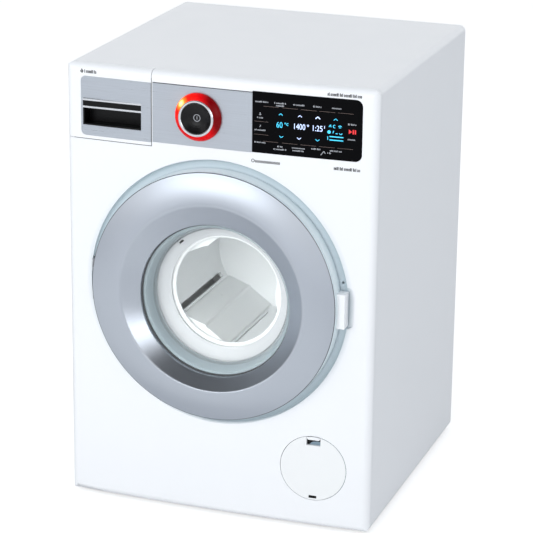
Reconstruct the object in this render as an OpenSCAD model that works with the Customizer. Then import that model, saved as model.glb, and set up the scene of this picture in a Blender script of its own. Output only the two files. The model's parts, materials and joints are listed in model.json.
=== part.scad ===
/* [Cabinet] */
// Width of the cabinet, side to side
body_w = 184; // [176:1:200]
// Depth of the cabinet at its middle, front panel to back cover
body_d = 180; // [176:1:210]
// Height of the cabinet without its feet
body_h = 260; // [256:1:285]
// How far the middle of the front stands forward of its side edges
front_bow = 2.5; // [1.5:0.1:3.5]
// Wall thickness of the top and sides
wall = 2.2; // [1.8:0.1:2.8]
// Wall thickness of the front panel
panel_t = 2.5; // [2:0.1:3]
// Rounding of the front edges
edge_r = 4; // [3:0.1:5]
// Rounding of the long edges of the top and bottom
side_r = 3.5; // [2.5:0.1:4.5]
// How far the front panel wraps back along the sides
panel_lip = 5; // [4.5:0.1:7]
// Gap of the seam behind the front panel
seam_gap = 0.25; // [0.15:0.05:0.4]
// Thickness of the back cover
back_t = 2.2; // [1.8:0.1:3]
// Thickness of the base tray
base_t = 2.2; // [1.8:0.1:3]
// Height of the tray's rim above the cabinet's bottom edge
tray_rim_h = 8; // [6:0.5:11]
// Height of the feet
foot_h = 2; // [1:0.1:3]
// Radius of the feet
foot_r = 8; // [6:0.5:10]
// Distance of the feet's centres from the tray's edges
foot_inset = 14; // [12:0.5:18]

/* [Door] */
// Distance of the door's centre below the cabinet's top
door_drop = 125.5; // [124:0.5:128]
// Radius of the silver door ring
ring_r = 73.1; // [72:0.1:73.6]
// How far the ring's outer edge stands proud of the front
ring_proud = 8.3; // [7.5:0.1:9]
// How far the ring's crest lies inside its outer edge
crest_in = 18.1; // [16.1:0.1:20.1]
// How far the ring's crest stands proud of the front
crest_proud = 11.5; // [10.5:0.1:12.5]
// How far the lip around the window lies inside the ring's outer edge
lip_in = 28.1; // [27.6:0.1:28.6]
// How far the lip stands proud of the front
lip_proud = 4; // [3.6:0.1:4.6]
// How far the window's centre lies below the ring's
window_drop = 3.5; // [2:0.1:4]
// Wall thickness of the silver ring
trim_t = 1.8; // [1.5:0.1:2.1]
// How far the bottom edge of the window cup lies inside the ring's outer edge
cup_in = 31.3; // [31.1:0.1:32.1]
// Depth of the window cup behind the front
cup_depth = 9.2; // [8.6:0.1:9.6]
// Wall thickness of the window
window_t = 1.6; // [1.4:0.1:1.8]
// Width of the gap around the closed door
dish_gap = 4.5; // [4.1:0.1:4.9]
// Depth of that dish
dish_depth = 3.4; // [3.2:0.1:3.6]
// How far the loading opening lies inside the ring's outer edge
throat_in = 17.1; // [16.1:0.1:18.1]
// Width of the white handle block
handle_w = 4.8; // [4:0.1:5]
// Height of the white handle block
handle_h = 20.1; // [16:0.1:24]
// How far the handle block stands proud of the front
handle_proud = 5; // [4:0.1:6]
// Height of the handle block's centre above the door's centre
handle_up = 0.2; // [-3:0.1:3]
// Radius of the hinge knuckles
knuckle_r = 1.6; // [1.5:0.05:1.7]
// Radius of the hinge pin
hinge_pin_r = 0.8; // [0.7:0.05:0.9]
// Length of the door's own knuckle
knuckle_h = 14; // [12:0.5:16]
// Length of each knuckle of the fixed bracket
ear_h = 5; // [4:0.5:6]

/* [Control strip] */
// Distance of the drawer's side seam left of the middle
seam_x = 39.6; // [39:0.1:40.5]
// Distance of the seam under the drawer front below the cabinet's top
seam_drop = 43.2; // [42.6:0.1:43.6]
// Distance of the silver strip's lower edge below the cabinet's top
strip_drop = 40.6; // [40:0.1:40.8]
// Height of the silver strip
strip_h = 33.8; // [33:0.1:34]
// Where the silver strip ends and the display begins, right of the middle
display_x = 20.3; // [18:0.1:22]
// Distance of the display's right end from the cabinet's side
display_side = 9; // [8:0.1:10]
// Height of the display
display_h = 34.4; // [34:0.1:35]
// Thickness of the strip and the display window
strip_t = 1.2; // [1:0.1:1.4]
// Distance of the knob's centre left of the middle
knob_x = 11.2; // [10:0.1:13]
// Distance of the knob's centre below the cabinet's top
knob_drop = 23.5; // [22.5:0.1:24.5]
// Radius of the red collar
collar_r = 13.7; // [13:0.1:14.2]
// Radius of the silver ring around the button
knob_ring_r = 10.35; // [10.1:0.05:10.6]
// How far the silver ring stands proud
knob_proud = 5; // [4.7:0.1:5.4]
// Radius of the black button
button_r = 8.6; // [8.3:0.05:8.6]
// How far the button can be pressed
button_travel = 1; // [0.6:0.1:1]
// Outer radius of the knob's hollow spindle
spindle_r = 6; // [5.7:0.1:6.3]
// Radius of the button's stem
stem_r = 3.9; // [3.6:0.1:4]
// Radius of the indicator lamps around the knob
lamp_r = 1.5; // [1.2:0.1:1.7]

/* [Drawer] */
// Distance of the drawer's silver label from the cabinet's side
label_side = 9.1; // [8:0.1:10]
// Height of the silver label
label_h = 34; // [33:0.1:34.5]
// Distance of the handle pocket from the cabinet's side
pocket_side = 10.4; // [10:0.1:11]
// Distance of the handle pocket from the drawer's side seam
pocket_seam = 6.4; // [6:0.1:8]
// Distance of the handle pocket's lower edge below the cabinet's top
pocket_drop = 35; // [34:0.1:36]
// Height of the handle pocket with its bar
pocket_h = 15.2; // [14:0.1:16]
// Height of the bar that is gripped
bar_h = 5.2; // [4.6:0.1:5.6]
// Depth of the handle pocket
pocket_d = 10; // [8:0.1:10.4]
// Wall thickness of the drawer tray and its housing
tray_wall = 1.6; // [1.2:0.1:1.8]
// How far the drawer pulls out
drawer_travel = 45; // [30:1:46]

/* [Drum] */
// Inner radius of the drum
drum_r = 35; // [34:0.1:36]
// Wall thickness of the drum
drum_wall = 1.5; // [1.2:0.1:1.8]
// Radius of the drum's mouth
mouth_r = 31.5; // [30:0.1:32]
// Radius of the opening in the fixed white collar
collar_hole_r = 33.4; // [32.8:0.1:33.8]
// Length of the drum
drum_len = 79; // [70:1:84]
// How far each paddle stands in from the drum wall
paddle_h = 7; // [5:0.1:8]
// How far the tub's wall lies outside the window cup's bottom edge
tub_gap = 6.2; // [4.2:0.1:7.2]
// Wall thickness of the tub
tub_wall = 2; // [1.6:0.1:2.4]
// Radius of the drum's shaft
shaft_r = 4; // [3.5:0.1:4.5]
// Outer radius of the drum's bearing
bearing_r = 6.5; // [6.2:0.1:7]
// Size of the gear teeth (module)
gear_m = 1; // [0.9:0.05:1]
// Width of the gears
gear_w = 5; // [4:0.1:5.2]
// Play between the gear teeth
backlash = 0.3; // [0.2:0.05:0.4]
// Radius of the motor
motor_r = 12; // [10:0.5:14]
// Length of the motor
motor_len = 28; // [22:1:32]

/* [Filter flap] */
// Distance of the flap's centre right of the middle
flap_x = 58.7; // [56:0.1:60]
// Height of the flap's centre
flap_z = 36.2; // [35:0.1:38]
// Radius of the flap
flap_r = 19.4; // [18:0.1:20]
// Thickness of the flap
flap_t = 2; // [1.6:0.1:2.2]
// Width of the finger notch at the flap's top
notch_w = 8.3; // [7:0.1:9]
// Depth of the filter pocket
filter_d = 15; // [13:0.5:18]
// Radius of the filter cap
cap_r = 9; // [8:0.1:10]

/* [Power and sound] */
// Radius of one battery cell
cell_r = 7.25; // [7:0.05:7.25]
// Length of one battery cell
cell_len = 50; // [48:0.5:50.5]
// Radius of the speaker
speaker_r = 18; // [15:0.5:20]

/* [Hidden] */

// Roundness of curves
fn_bow = 2880;
fn_big = 128;
fn_mid = 64;
fn_small = 32;
over = 1; // cuts run this far past a face
edge_over = 0.02; // the front's rounding runs this far past the flat top and bottom

// Named clearances
run_gap = 0.05; // shaft in its bore, radial
move_gap = 0.3; // faces of pieces that move past each other
fit_gap = 0.1; // fixed pieces side by side
pilot_gap = 0.05; // screw in its hole, radial

// Reference planes. The front plane touches the middle of the front panel.
front_y = -(body_d - crest_proud) / 2;
back_y = (body_d + crest_proud) / 2;
base_z = foot_h;
top_z = foot_h + body_h;
half_w = body_w / 2;
in_x = half_w - wall;
in_top = top_z - wall;
seam_y = front_y + front_bow + panel_lip;
shell_y = seam_y + seam_gap;
back_in = back_y - back_t;
bow_r = (pow(half_w, 2) + pow(front_bow, 2)) / (2 * front_bow);

// Depth of the bowed surface behind the front plane, and of its tangent point at the side edge
function bow(x) = bow_r - sqrt(pow(bow_r, 2) - pow(x, 2));
// Proud height of a row-frame y
function proud(y) = front_y - y;
function around(centre, half) = [centre - half, centre + half];
function from(base, range) = [base + range[0], base + range[1]];

// Door
ring_z = top_z - door_drop;
axis_z = ring_z - window_drop;
crest_r = ring_r - crest_in;
lip_r = ring_r - lip_in;
cup_r = ring_r - cup_in;
dish_r = ring_r + dish_gap;
throat_r = ring_r - throat_in;
tub_r = cup_r + tub_gap;
dish_fillet = 2.2;
dish_floor_fillet = 1.2;
mouth_lift = 0.5;
dish_back = -dish_depth - panel_t;
frame_back = -dish_depth + 0.8;
frame_t = 2;
ring_edge = 1.6; // height of the silver edge seen from the side
hinge_x = -(ring_r + 1.5);
hinge_y = front_y + 0.25;
hinge_ear_z = knuckle_h / 2 + 0.2;
arm_t = 2.4;
door_boss_r = 3;
door_screw_ring = ring_r - 11.1;
door_screw_r = 1.1;
door_screw_angles = [50, 130, 230, 310];
hook_x = ring_r - 6.1;
hook_z = ring_z + 6;
scoop_x = from(ring_r, [-5.1, 7.7]);
hinge_screw_x = hinge_x + 12;
hinge_screw_z = [ring_z - 8, ring_z + 8];
hook_w = 3;
hook_h = 6;
hook_len = 8;
seal_w = 3.6;

// Control strip
knob_cz = top_z - knob_drop;
strip_z0 = top_z - strip_drop;
display_end = half_w - display_side;
drawer_x = -seam_x;
drawer_z = top_z - seam_drop;
drawer_gap = 0.4;
board_p = -15;
board_t = 1.6;
board_x = [-33, display_end];
board_z = [strip_z0 - 0.5, strip_z0 + strip_h + 1];
board_bosses = [for (x = [board_x[0] + 4, board_x[1] - 4], z = [3.5, 31.5]) [x, z]];
board_boss_r = 3;
switch_w = 22;
switch_front = -7;
spindle_back = -14;
bore_r = stem_r + move_gap;
flange_r = 9.8;
stem_back = -9.6;
tact_front = -12;
tact_r = 3.2;
plunger_front = stem_back - button_travel - 0.3;
lamp_ring = 11.5;
lamp_angles = [140, 20, 260];

// Drum and drive: distances behind the front plane are negative proud heights
collar_front = -11.6;
collar_lip = -14.4;
collar_t = 1.8;
mouth_front = collar_lip - collar_t - 0.6;
mouth_t = 2.6;
shell_front = mouth_front - mouth_t;
shell_back = shell_front - drum_len;
shaft_flange_t = 2;
tub_back = shell_back - shaft_flange_t - 2.4;
tub_back_t = 2.5;
bearing_len = 9;
bearing_back = tub_back - bearing_len;
gear_front = bearing_back - 1.2;
gear_back = gear_front - gear_w;
stage_front = gear_back - 0.8;
stage_back = stage_front - gear_w;
bracket_front = stage_back - 2.4;
bracket_t = 2;
clip_t = 0.8;
drum_teeth = 48;
idler_small = 12;
idler_big = 36;
pinion_teeth = 12;
idler_dir = 225;
motor_dir = 250;
idler_dist = gear_m * (drum_teeth + idler_small) / 2;
motor_dist = gear_m * (idler_big + pinion_teeth) / 2;
idler_at = [idler_dist * cos(idler_dir), axis_z + idler_dist * sin(idler_dir)];
motor_at = [idler_at[0] + motor_dist * cos(motor_dir), idler_at[1] + motor_dist * sin(motor_dir)];
idler_axle_r = 1.5;
motor_shaft_r = 1;
post_ring = 40;
post_angles = [95, 345, 170];
post_r = 4;
tub_screw_ring = ring_r - 9.1;
tub_screw_angles = [45, 135, 225, 315];
tub_boss_r = 4;
tub_flange_p = dish_back - 6;
tub_flange_t = 2;
tub_front = dish_back - 4.9;
screw_r = 1.1;
slot_angle = 208;
ridge_angle = 238;
thin_angle = 272;
hose_x = 24;
hose_p = -24;
hose_in_r = 3;
hose_wall = 1.5;
hose_bend_r = 9;

// Drawer
tray_x = [5.8 - half_w, drawer_x - 4.4];
label_x = label_side - half_w;
tray_z = [drawer_z + 3.4, drawer_z + 36];
tray_flange_p = -5;
tray_front_p = -11.4;
tray_d = drawer_travel + 17;
tray_back_p = tray_front_p - tray_d;
housing_p = proud(shell_y) - 0.4;
housing_back_p = tray_back_p - 3;
// compartment walls, counted from the tray's right-hand side
compartments = [[tray_x[0] + tray_wall, tray_x[1] - 22], [tray_x[1] - 20.4, tray_x[1] - 12],
    [tray_x[1] - 10.4, tray_x[1] - tray_wall]];
pocket_x0 = pocket_side - half_w;
pocket_x1 = drawer_x - pocket_seam;
pocket_z0 = top_z - pocket_drop;
pocket_z1 = pocket_z0 + pocket_h;
bar_z0 = pocket_z1 - bar_h;
pocket_wall = 0.8;

// Flap and filter
flap_cz = base_z + flap_z;
flap_p = -bow(flap_x);
flap_hole_r = flap_r + move_gap;
notch_h = 5.4;
prong_x = [15.8, 17.3];
prong_h = 3;
prong_len = 7;
shoulder_x = 19.1;
ledge_r = 17.9;
ledge_t = 1.2;
cup_wall = 1.6;
filter_front = flap_p - panel_t - 1;
filter_floor = flap_p - filter_d;
filter_floor_t = 2;
chamber_r = 7;
chamber_back = -31;
cap_stem_r = 5;

// Back, battery and speaker
battery_half = 33.5;
battery_z = [13, 75];
ear_z = 80.5;
ear_r = 5;
box_wall = 1.7;
box_d = 17.5;
cell_pitch = 2 * cell_r + 0.4;
spring_len = 5;
speaker_at = [32 - half_w, 112];
lane_y = [for (d = [19.5, 23.5, 33.5]) back_in - d];
box_lead_y = back_in - 13.5;
contact_w = 10;
plug_up = 6.5;
speaker_d = 9;
vent_z = body_h - 55;
back_screw_z = [18, body_h / 2 + 1, body_h - 14];
back_screw_x = in_x - 5.5;
speaker_lead_z = base_z + speaker_at[1];
wire_r = 0.7;

// ---- helpers -------------------------------------------------------------

// Front frame: x to the right, y up, z proud of the front plane
module on_front(x = 0, z = 0) translate([x, front_y, z]) rotate([90, 0, 0]) children();

// Box from ranges of x, proud height and height
module slab(x, p, z)
    translate([x[0], front_y - p[1], z[0]]) cube([x[1] - x[0], p[1] - p[0], z[1] - z[0]]);

module rod(r, p0, p1, fn = fn_mid) translate([0, 0, p0]) cylinder(r = r, h = p1 - p0, $fn = fn);

module pipe(r_out, r_in, p0, p1, fn = fn_mid) difference() {
    rod(r_out, p0, p1, fn);
    rod(r_in, p0 - over, p1 + over, fn);
}

module turned(points, fn = fn_big) rotate_extrude($fn = fn) polygon(points);

// Layer of the bowed front between two depths under its surface
module bow_layer(outer, inner) translate([0, front_y + bow_r, -over]) difference() {
    cylinder(r = bow_r - outer, h = top_z + 2 * over, $fn = fn_bow);
    translate([0, 0, -over]) cylinder(r = bow_r - inner, h = top_z + 4 * over, $fn = fn_bow);
}

// Rectangle with its own corner radius on the left and on the right
module rounded(x, z, left, right) {
    translate([x[0] + left, z[0]]) square([x[1] - x[0] - left - right, z[1] - z[0]]);
    for (side = [[x[0], left, 1], [x[1], right, -1]]) if (side[1] > 0) {
        translate([side[0] + side[2] * side[1] / 2, (z[0] + z[1]) / 2])
            square([side[1] + 0.02, z[1] - z[0] - 2 * side[1]], center = true);
        for (corner = [z[0] + side[1], z[1] - side[1]])
            translate([side[0] + side[2] * side[1], corner]) circle(r = side[1], $fn = 48);
    }
}

// Bowed plate with a rounded outline, between two depths under the front's surface
module bow_plate(x, z, left, right, outer, inner) intersection() {
    bow_layer(outer, inner);
    translate([0, front_y + panel_lip + front_bow + over, 0]) rotate([90, 0, 0])
        linear_extrude(panel_lip + front_bow + 2 * over) rounded(x, z, left, right);
}

module body_face() rounded([-half_w, half_w], [base_z, top_z], side_r, side_r);

module body_plan() {
    centre_x = half_w - edge_r;
    centre_y = front_y + bow_r - sqrt(pow(bow_r - edge_r, 2) - pow(centre_x, 2));
    touch_x = centre_x * bow_r / (bow_r - edge_r);
    intersection() {
        translate([0, front_y + bow_r]) circle(r = bow_r, $fn = fn_bow);
        translate([-touch_x, front_y - over]) square([2 * touch_x, 20]);
    }
    translate([-half_w, centre_y]) square([body_w, 20]);
    for (s = [-1, 1]) translate([s * centre_x, centre_y]) circle(r = edge_r, $fn = 48);
}

// Outer form of the front: bowed, with rounded edges all round, up to the seam
module front_form() {
    turn = 2 * asin(half_w / bow_r) + 1;
    intersection() {
        translate([0, front_y + bow_r, 0]) rotate([0, 0, -90 - turn / 2])
            rotate_extrude(angle = turn, $fn = fn_bow)
                rounded([bow_r - 30, bow_r], [base_z - edge_over, top_z + edge_over], 0, edge_r);
        linear_extrude(top_z + over) body_plan();
        translate([0, seam_y, 0]) rotate([90, 0, 0]) linear_extrude(seam_y - front_y + over) body_face();
    }
}

module front_core() intersection() {
    translate([0, front_y + bow_r, 0])
        cylinder(r = bow_r - panel_t, h = top_z, $fn = fn_bow);
    translate([-in_x, front_y, base_z + wall]) cube([2 * in_x, 40, body_h - 2 * wall]);
}

module pan_screw(head_r, head_h, r, len) {
    rod(head_r, 0, head_h, fn_small);
    rod(r, -len, 0.01, fn_small);
}

// Involute gear. Tooth 0 points along +x.
function involute(base, roll) = [
    base * sqrt(1 + pow(roll, 2)),
    roll * 180 / PI - atan(roll)
];
function roll_at(base, r) = sqrt(max(0, pow(r / base, 2) - 1));
module gear_outline(teeth) {
    pitch_r = gear_m * teeth / 2;
    base = pitch_r * cos(20);
    tip_r = pitch_r + 0.95 * gear_m;
    root_r = pitch_r - 1.25 * gear_m;
    start_r = max(base, root_r);
    half_tooth = 90 / teeth - backlash / 2 / pitch_r * 180 / PI;
    pitch_turn = involute(base, roll_at(base, pitch_r))[1];
    steps = 3;
    flank = [for (i = [0:steps]) involute(base, roll_at(base, start_r + (tip_r - start_r) * i / steps))];
    angles = [for (f = flank) half_tooth + pitch_turn - f[1]];
    root_half = angles[0];
    polygon([for (t = [0:teeth - 1]) let (mid = t * 360 / teeth) each concat(
        [[root_r * cos(mid - root_half), root_r * sin(mid - root_half)]],
        [for (i = [0:steps]) [flank[i][0] * cos(mid - angles[i]), flank[i][0] * sin(mid - angles[i])]],
        [for (i = [steps:-1:0]) [flank[i][0] * cos(mid + angles[i]), flank[i][0] * sin(mid + angles[i])]],
        [[root_r * cos(mid + root_half), root_r * sin(mid + root_half)]]
    )]);
}
module gear(teeth, p, tooth_dir) translate([0, 0, p]) rotate([0, 0, tooth_dir])
    linear_extrude(gear_w) gear_outline(teeth);

// ---- cabinet -------------------------------------------------------------

module cabinet_shell() color("white") difference() {
    union() {
        difference() {
            translate([0, back_y, 0]) rotate([90, 0, 0]) linear_extrude(back_y - shell_y) body_face();
            translate([-in_x, shell_y - over, -over]) cube([2 * in_x, body_d + 2 * over, in_top + over]);
        }
        for (s = [-1, 1], z = back_screw_z) {
            translate([s * back_screw_x, back_in, base_z + z]) rotate([90, 0, 0])
                cylinder(r = 4, h = 16, $fn = fn_small);
            translate([s * (back_screw_x + in_x + 0.2) / 2, back_in - 8, base_z + z])
                cube([in_x - back_screw_x + 0.2, 16, 2], center = true);
        }
    }
    for (s = [-1, 1], z = back_screw_z)
        translate([s * back_screw_x, back_in + over, base_z + z]) rotate([90, 0, 0])
            cylinder(r = screw_r + pilot_gap, h = 13, $fn = fn_small);
}

// Corner of the front that the drawer front fills, grown by a margin
module drawer_corner(margin, depth)
    slab([-half_w - over, drawer_x + margin], [-depth, over], [drawer_z - margin, top_z + over]);

// Dish with a rounded mouth. The mouth's arc starts just above the front plane.
module dish_cut() on_front(0, ring_z) rotate_extrude($fn = fn_big) {
    translate([0, -dish_depth]) square([dish_r - dish_floor_fillet, dish_depth + over]);
    translate([0, dish_floor_fillet - dish_depth]) square([dish_r, dish_depth - dish_floor_fillet + over]);
    translate([dish_r - dish_floor_fillet, dish_floor_fillet - dish_depth])
        circle(r = dish_floor_fillet, $fn = fn_mid);
    difference() {
        translate([dish_r - 0.01, mouth_lift - dish_fillet])
            square([dish_fillet + over, dish_fillet + mouth_lift]);
        translate([dish_r + dish_fillet, mouth_lift - dish_fillet]) circle(r = dish_fillet, $fn = fn_mid);
    }
}

module front_panel() color("white") difference() {
    union() {
        difference() {
            front_form();
            front_core();
        }
        // dished backing behind the door
        on_front(0, ring_z) rod(dish_r + panel_t, dish_back, -bow(dish_r + panel_t) - 0.1, fn_big);
        // scooped backing behind the handle
        slab([scoop_x[0] + 2, min(scoop_x[1] + 2.2, in_x + 1)], [dish_back, -bow(scoop_x[1]) - 1],
            from(ring_z, [-14, 15]));
        // ring behind the flap's hole
        on_front(flap_x, flap_cz) rod(flap_hole_r + cup_wall, filter_front, flap_p - panel_t / 2, fn_mid);
        // lips beside and under the drawer
        slab([drawer_x, drawer_x + wall], [proud(seam_y), -bow(drawer_x) - 1],
            [drawer_z - wall, in_top + 0.1]);
        slab([-in_x - 0.1, drawer_x + wall], [proud(seam_y), -bow(in_x) - 1], [drawer_z - wall, drawer_z]);
        // bosses for the tub and the board
        on_front(0, axis_z) for (a = tub_screw_angles) rotate([0, 0, a]) translate([tub_screw_ring, 0, 0])
            rod(tub_boss_r, tub_flange_p, dish_back + 0.5);
        for (b = board_bosses) on_front(b[0], strip_z0 + b[1])
            rod(board_boss_r, board_p, -bow(b[0]) - panel_t / 2);
        // bosses for the hinge bracket
        for (z = hinge_screw_z) on_front(hinge_screw_x, z) rod(3, dish_back - 2, dish_back + 0.5);
        // tongue that centres the panel in the cabinet
        difference() {
            translate([-in_x - 0.2, seam_y - panel_lip / 2, base_z + wall - 0.2])
                cube([2 * in_x + 0.4, panel_lip / 2, body_h - 2 * wall + 0.4]);
            translate([-in_x + 1.3, seam_y - panel_lip, base_z + wall + 1.3])
                cube([2 * in_x - 2.6, panel_lip * 2, body_h - 2 * wall - 2.6]);
        }
        difference() {
            translate([-in_x + fit_gap, seam_y - 0.1, base_z + wall + fit_gap])
                cube([2 * (in_x - fit_gap), 4.1, body_h - 2 * (wall + fit_gap)]);
            translate([-in_x + 1.3, seam_y - over, base_z + wall + 1.3])
                cube([2 * in_x - 2.6, 8, body_h - 2 * wall - 2.6]);
        }
    }
    dish_cut();
    // finger scoop beside the handle
    on_front(0, 0) intersection() {
        translate([0, 0, -dish_depth]) linear_extrude(dish_depth + over)
            rounded(scoop_x, from(ring_z, [-11.6, 12.4]), 0, 4);
    }
    on_front(0, axis_z) rod(throat_r, dish_back - over, over, fn_big);
    // slot for the latch tongue, and the small hole of the lock button
    slab([hook_x - hook_w / 2 - 1.2, hook_x + hook_w / 2 + 1.6], [dish_back - over, over],
        [hook_z - hook_h / 2 - 1, hook_z + hook_h / 2 + 1]);
    on_front(ring_r + 0.5, ring_z + 14.6) rod(0.8, dish_back - over, over, fn_small);
    // slots for the hinge bracket's ears
    for (s = [-1, 1]) slab([hinge_x - knuckle_r - 0.3, hinge_x + knuckle_r + 0.3], [-20, over],
        around(ring_z + s * (hinge_ear_z + ear_h / 2), ear_h / 2 + 0.3));
    // seats of the silver strip and the display
    bow_plate([drawer_x + 0.6, display_x], from(strip_z0, [-0.1, strip_h + 0.5]), 0, 0, -over,
        strip_t + 0.02);
    bow_plate([display_x - 0.1, display_end + 0.1], from(strip_z0, [0.1, display_h + 0.5]), 0, 4, -over,
        strip_t + 0.02);
    drawer_corner(drawer_gap / 2, 20);
    // knob, lamps, flap and screws
    on_front(-knob_x, knob_cz) {
        rod(spindle_r + move_gap, -10, over);
        for (a = lamp_angles) rotate([0, 0, a]) translate([lamp_ring, 0, 0])
            rod(lamp_r + 0.1, -10, over, fn_small);
    }
    on_front(flap_x, flap_cz) rod(flap_hole_r, -20, over);
    on_front(0, axis_z) for (a = tub_screw_angles) rotate([0, 0, a]) translate([tub_screw_ring, 0, 0])
        rod(screw_r + pilot_gap, tub_flange_p - over, dish_back + 1, fn_small);
    for (b = board_bosses) on_front(b[0], strip_z0 + b[1])
        rod(screw_r + pilot_gap, board_p - over, -bow(b[0]) - panel_t - 1, fn_small);
    for (z = hinge_screw_z) on_front(hinge_screw_x, z)
        rod(screw_r + pilot_gap, dish_back - 3, dish_back + 1.6, fn_small);
}

module back_opening(margin) {
    translate([-battery_half - margin, 0, base_z + battery_z[0] - margin])
        cube([2 * (battery_half + margin), 40, battery_z[1] - battery_z[0] + 2 * margin]);
    translate([0, 0, base_z + ear_z - 3]) rotate([-90, 0, 0])
        cylinder(r = ear_r + margin, h = 40, $fn = fn_mid);
}

module back_cover() color("white") difference() {
    translate([-in_x + fit_gap, back_in, base_z + 0.2])
        cube([2 * (in_x - fit_gap), back_t, in_top - base_z - 0.2 - fit_gap]);
    translate([0, back_in - over, 0]) back_opening(move_gap);
    for (s = [-1, 1], z = back_screw_z) translate([s * back_screw_x, 0, base_z + z]) rotate([-90, 0, 0]) {
        translate([0, 0, back_in - over]) cylinder(r = screw_r + 0.3, h = 10, $fn = fn_small);
        translate([0, 0, back_y - 1.4]) cylinder(r = 2.9, h = 5, $fn = fn_small);
    }
    for (row = [0:5], s = [-1, 1])
        translate([s * 34 - 22, back_in - over, base_z + vent_z + row * 6])
            cube([44, back_t + 2 * over, 2.4]);
    // sound holes
    translate([speaker_at[0], back_in - over, base_z + speaker_at[1]]) rotate([-90, 0, 0]) {
        cylinder(r = 1.2, h = back_t + 2 * over, $fn = fn_small);
        for (ring = [1:2], i = [0:6 * ring - 1]) rotate([0, 0, i * 60 / ring])
            translate([ring * 5.6, 0, 0]) cylinder(r = 1.2, h = back_t + 2 * over, $fn = fn_small);
    }
}

tray_x_half = in_x - fit_gap;
tray_y = [seam_y + 4.4, back_in - fit_gap];
foot_spots = [for (s = [-1, 1], y = [tray_y[0] + foot_inset, tray_y[1] - foot_inset])
    [s * (tray_x_half - foot_inset), y]];

module base_tray() color("white") difference() {
    translate([-tray_x_half, tray_y[0], base_z]) cube([2 * tray_x_half, tray_y[1] - tray_y[0], tray_rim_h]);
    translate([-tray_x_half + 1.6, tray_y[0] + 1.6, base_z + base_t])
        cube([2 * tray_x_half - 3.2, tray_y[1] - tray_y[0] - 3.2, tray_rim_h]);
    for (f = foot_spots) translate([f[0], f[1], 0])
        cylinder(r = 2.5 + pilot_gap, h = base_z + base_t + over, $fn = fn_small);
}

module feet() color("lightgrey") for (f = foot_spots) translate([f[0], f[1], 0]) {
    cylinder(r = foot_r, h = foot_h, $fn = fn_mid);
    cylinder(r = 2.5, h = base_z + base_t, $fn = fn_small);
    translate([0, 0, base_z + base_t]) cylinder(r = 3.2, h = 1.2, $fn = fn_small);
}

// ---- control strip -------------------------------------------------------

module fascia_plate() color("silver") difference() {
    bow_plate([drawer_x + 0.7, display_x - 0.1], from(strip_z0, [0, strip_h]), 0, 0, 0, strip_t);
    on_front(-knob_x, knob_cz) {
        rod(spindle_r + move_gap, -5, over);
        for (a = lamp_angles) rotate([0, 0, a]) translate([lamp_ring, 0, 0])
            rod(lamp_r + 0.1, -5, over, fn_small);
    }
}

module display_lens() color("black")
    bow_plate([display_x, display_end], from(strip_z0, [0.2, 0.2 + display_h]), 0, 4, 0, strip_t);

module control_board() {
    color("darkgreen") difference() {
        slab(board_x, [board_p - board_t, board_p], board_z);
        for (b = board_bosses) on_front(b[0], strip_z0 + b[1])
            rod(screw_r + 0.2, board_p - board_t - over, board_p + over, fn_small);
    }
    // display module, driver chip and connectors
    color("dimgrey") slab([30, 66], [board_p, -5.5], from(strip_z0, [9, 25]));
    color("dimgrey") slab([6, 16], [board_p - board_t - 2, board_p - board_t], from(strip_z0, [12, 22]));
    color("ivory") for (x = [34, 46, 58])
        slab([x, x + 7], [board_p - board_t - 5, board_p - board_t], from(strip_z0, [4, 9]));
}

module rotary_switch() color("dimgrey") difference() {
    slab([-knob_x - switch_w / 2, -knob_x + switch_w / 2], [board_p, switch_front],
        [knob_cz - switch_w / 2, knob_cz + switch_w / 2]);
    on_front(-knob_x, knob_cz) {
        difference() {
            rod(spindle_r + run_gap, board_p + 0.2, 0);
            rod(tact_r, board_p - over, tact_front, fn_small);
            rod(1.4, board_p - over, plunger_front, fn_small);
        }
        for (a = lamp_angles) rotate([0, 0, a]) translate([lamp_ring, 0, 0])
            rod(lamp_r + 0.2, board_p - over, 0, fn_small);
    }
}

module ring_leds() color("red") on_front(-knob_x, knob_cz) for (a = lamp_angles) rotate([0, 0, a])
    translate([lamp_ring, 0, 0]) {
        rod(lamp_r, -5.5, -0.1, fn_small);
        rod(0.5, board_p, -5.4, fn_small);
    }

module knob_collar() color("red") on_front(-knob_x, knob_cz) turned([
    [flange_r + 0.05, 0.3], [collar_r - 0.3, 0.3], [collar_r, 0.6], [collar_r, 1.1],
    [collar_r - 0.7, 2.5], [collar_r - 1.9, 3.6], [knob_ring_r + 0.05, 4.25], [flange_r + 0.05, 4.25]]);

module knob_ring() color("silver") on_front(-knob_x, knob_cz) turned([
    [button_r + move_gap, 1.35], [flange_r, 1.35], [flange_r, 4.3], [knob_ring_r, 4.3],
    [knob_ring_r, knob_proud - 0.3], [knob_ring_r - 0.4, knob_proud],
        [button_r + move_gap + 0.3, knob_proud],
    [button_r + move_gap, knob_proud - 0.3]]);

module knob_spindle() color("white") on_front(-knob_x, knob_cz) {
    pipe(spindle_r, bore_r, spindle_back, 1.3);
    pipe(flange_r, spindle_r - 0.5, 0.3, 1.3);
}

module button_cap() color("black") on_front(-knob_x, knob_cz) {
    dished = [for (i = [0:6]) [button_r * (1 - i / 6) * 0.97, 2.6 + 2.3 * pow(1 - i / 6, 2)]];
    turned(concat([[0, 1.4], [bore_r - 0.15, 1.4], [bore_r - 0.15, 2.45], [button_r - 1.4, 2.9],
        [button_r - 1, 2.4], [button_r, 2.4], [button_r, knob_proud - 0.15]], dished), fn_mid);
    rod(stem_r, stem_back, 1.45);
}

module button_spring() color("silver") on_front(-knob_x, knob_cz)
    for (i = [0:2]) translate([0, 0, tact_front + 0.35 + i * (stem_back - tact_front - 0.7) / 2])
        rotate_extrude($fn = fn_small) translate([2.5, 0]) circle(r = 0.3, $fn = 16);

// ---- drawer --------------------------------------------------------------

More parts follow.
